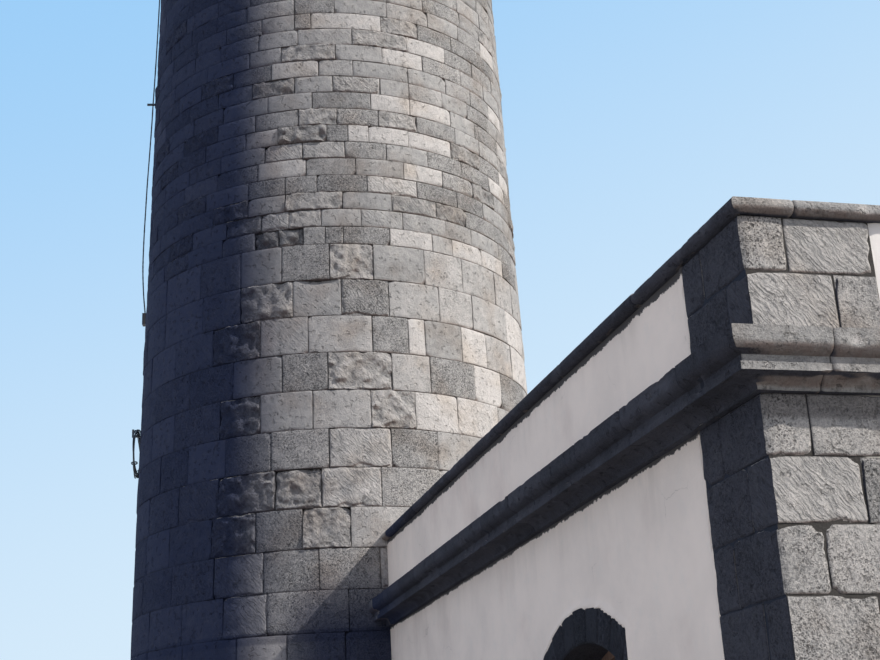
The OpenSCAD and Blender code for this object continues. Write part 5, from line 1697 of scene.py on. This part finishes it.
# The photograph's viewpoint: place, heading from +X, rise above the horizon and tilt to the side, in degrees
EYE, HEADING, RISE, TILT = (20.6231, -3.5738, 1.6), 165.5765, 18.8226, -2.7557


def open_sky():
    """The world: a pale background for the camera, a plain blue-grey light for everything else."""
    world = bpy.data.worlds.new("open sky")
    world.use_nodes = True
    put = partial(add, world.node_tree)
    seen = put("MAXIMUM", *put("LightPath", out=("Is Camera Ray", "Is Transmission Ray", "Is Glossy Ray")))
    y, z = put("SeparateXYZ", put("TexCoord", out="Generated"), out=(1, 2))
    height = put("SUBTRACT", z, put("MULTIPLY", y, 0.3))
    air = put("Mix", (height, 0.0, 0.65), tints().horizon, tints().sky)
    fill(world.node_tree.nodes["Background"], {"Color": put("Mix", seen, "#c2cadd", air), "Strength": 1.0})
    return world


class LIGHTHOUSE_OT_stage(bpy.types.Operator):
    """Sets the plain floor, the pale background, the sun and the camera at the photograph's viewing angle"""
    bl_idname = "lighthouse.stage"
    bl_label = "Stage"

    def execute(self, context):
        scene = bpy.context.scene
        scene.view_settings.view_transform = "Standard"
        scene.world = open_sky()
        mesh = bpy.data.meshes.new("floor")
        ring = [(x * FLOOR_HALF, y * FLOOR_HALF, FLOOR_Z) for x, y in ((-1, -1), (1, -1), (1, 1), (-1, 1))]
        mesh.from_pydata(ring, [], [(0, 1, 2, 3)])
        mesh.materials.append(material(FLOOR))
        floor = bpy.data.objects.new("floor", mesh)
        sun = bpy.data.lights.new("sun", "SUN")
        sun.energy = 4.0
        sun.angle = np.radians(1.0)
        sun.color = (1.0, 0.96, 0.9)
        lamp = bpy.data.objects.new("sun", sun)
        lamp.matrix_world = Vector(SUNWARD).to_track_quat("Z", "Y").to_matrix().to_4x4()
        eye = bpy.data.cameras.new("camera")
        eye.lens, eye.sensor_width, eye.sensor_fit = 56.405, 36.0, "HORIZONTAL"
        eye.clip_end = 800
        camera = bpy.data.objects.new("camera", eye)
        turns = [Matrix.Rotation(np.radians(angle), 4, axis)
                 for angle, axis in ((HEADING - 90, "Z"), (90 + RISE, "X"), (TILT, "Z"))]
        camera.matrix_world = Matrix.Translation(EYE) @ turns[0] @ turns[1] @ turns[2]
        for thing in (floor, lamp, camera):
            scene.collection.objects.link(thing)
        scene.camera = camera
        return {"FINISHED"}


OPERATORS = (
    LIGHTHOUSE_OT_stage, LIGHTHOUSE_OT_finishes, LIGHTHOUSE_OT_shaft_stones, LIGHTHOUSE_OT_corner_stones,
    LIGHTHOUSE_OT_cornice, LIGHTHOUSE_OT_coping, LIGHTHOUSE_OT_plaster, LIGHTHOUSE_OT_surrounds,
    LIGHTHOUSE_OT_base_course, LIGHTHOUSE_OT_conductor, LIGHTHOUSE_OT_window_bars, LIGHTHOUSE_OT_door_irons,
    LIGHTHOUSE_OT_head_stones, LIGHTHOUSE_OT_lantern_irons,
)


class LIGHTHOUSE_PT_panel(bpy.types.Panel):
    """Lists the pieces of the lighthouse and their sizes"""
    bl_idname = "LIGHTHOUSE_PT_panel"
    bl_label = "Lighthouse"
    bl_space_type = "VIEW_3D"
    bl_region_type = "UI"
    bl_category = "Lighthouse"

    def draw(self, context):
        for operator in OPERATORS:
            self.layout.operator(operator.bl_idname)
        for name in GROUPS:
            group = getattr(context.scene, name)
            for key in group.bl_rna.properties.keys():
                if key not in ("rna_type", "name"):
                    self.layout.prop(group, key)


CLASSES = (*GROUPS.values(), *OPERATORS, LIGHTHOUSE_PT_panel)


def register():
    for entry in CLASSES:
        bpy.utils.register_class(entry)
    for name, group in GROUPS.items():
        setattr(bpy.types.Scene, name, PointerProperty(type=group))


def unregister():
    for name in GROUPS:
        delattr(bpy.types.Scene, name)
    for entry in reversed(CLASSES):
        bpy.utils.unregister_class(entry)


def main():
    register()
    for operator in OPERATORS:
        getattr(bpy.ops.lighthouse, operator.bl_idname.split(".")[1])()


if __name__ == "__main__":
    main()
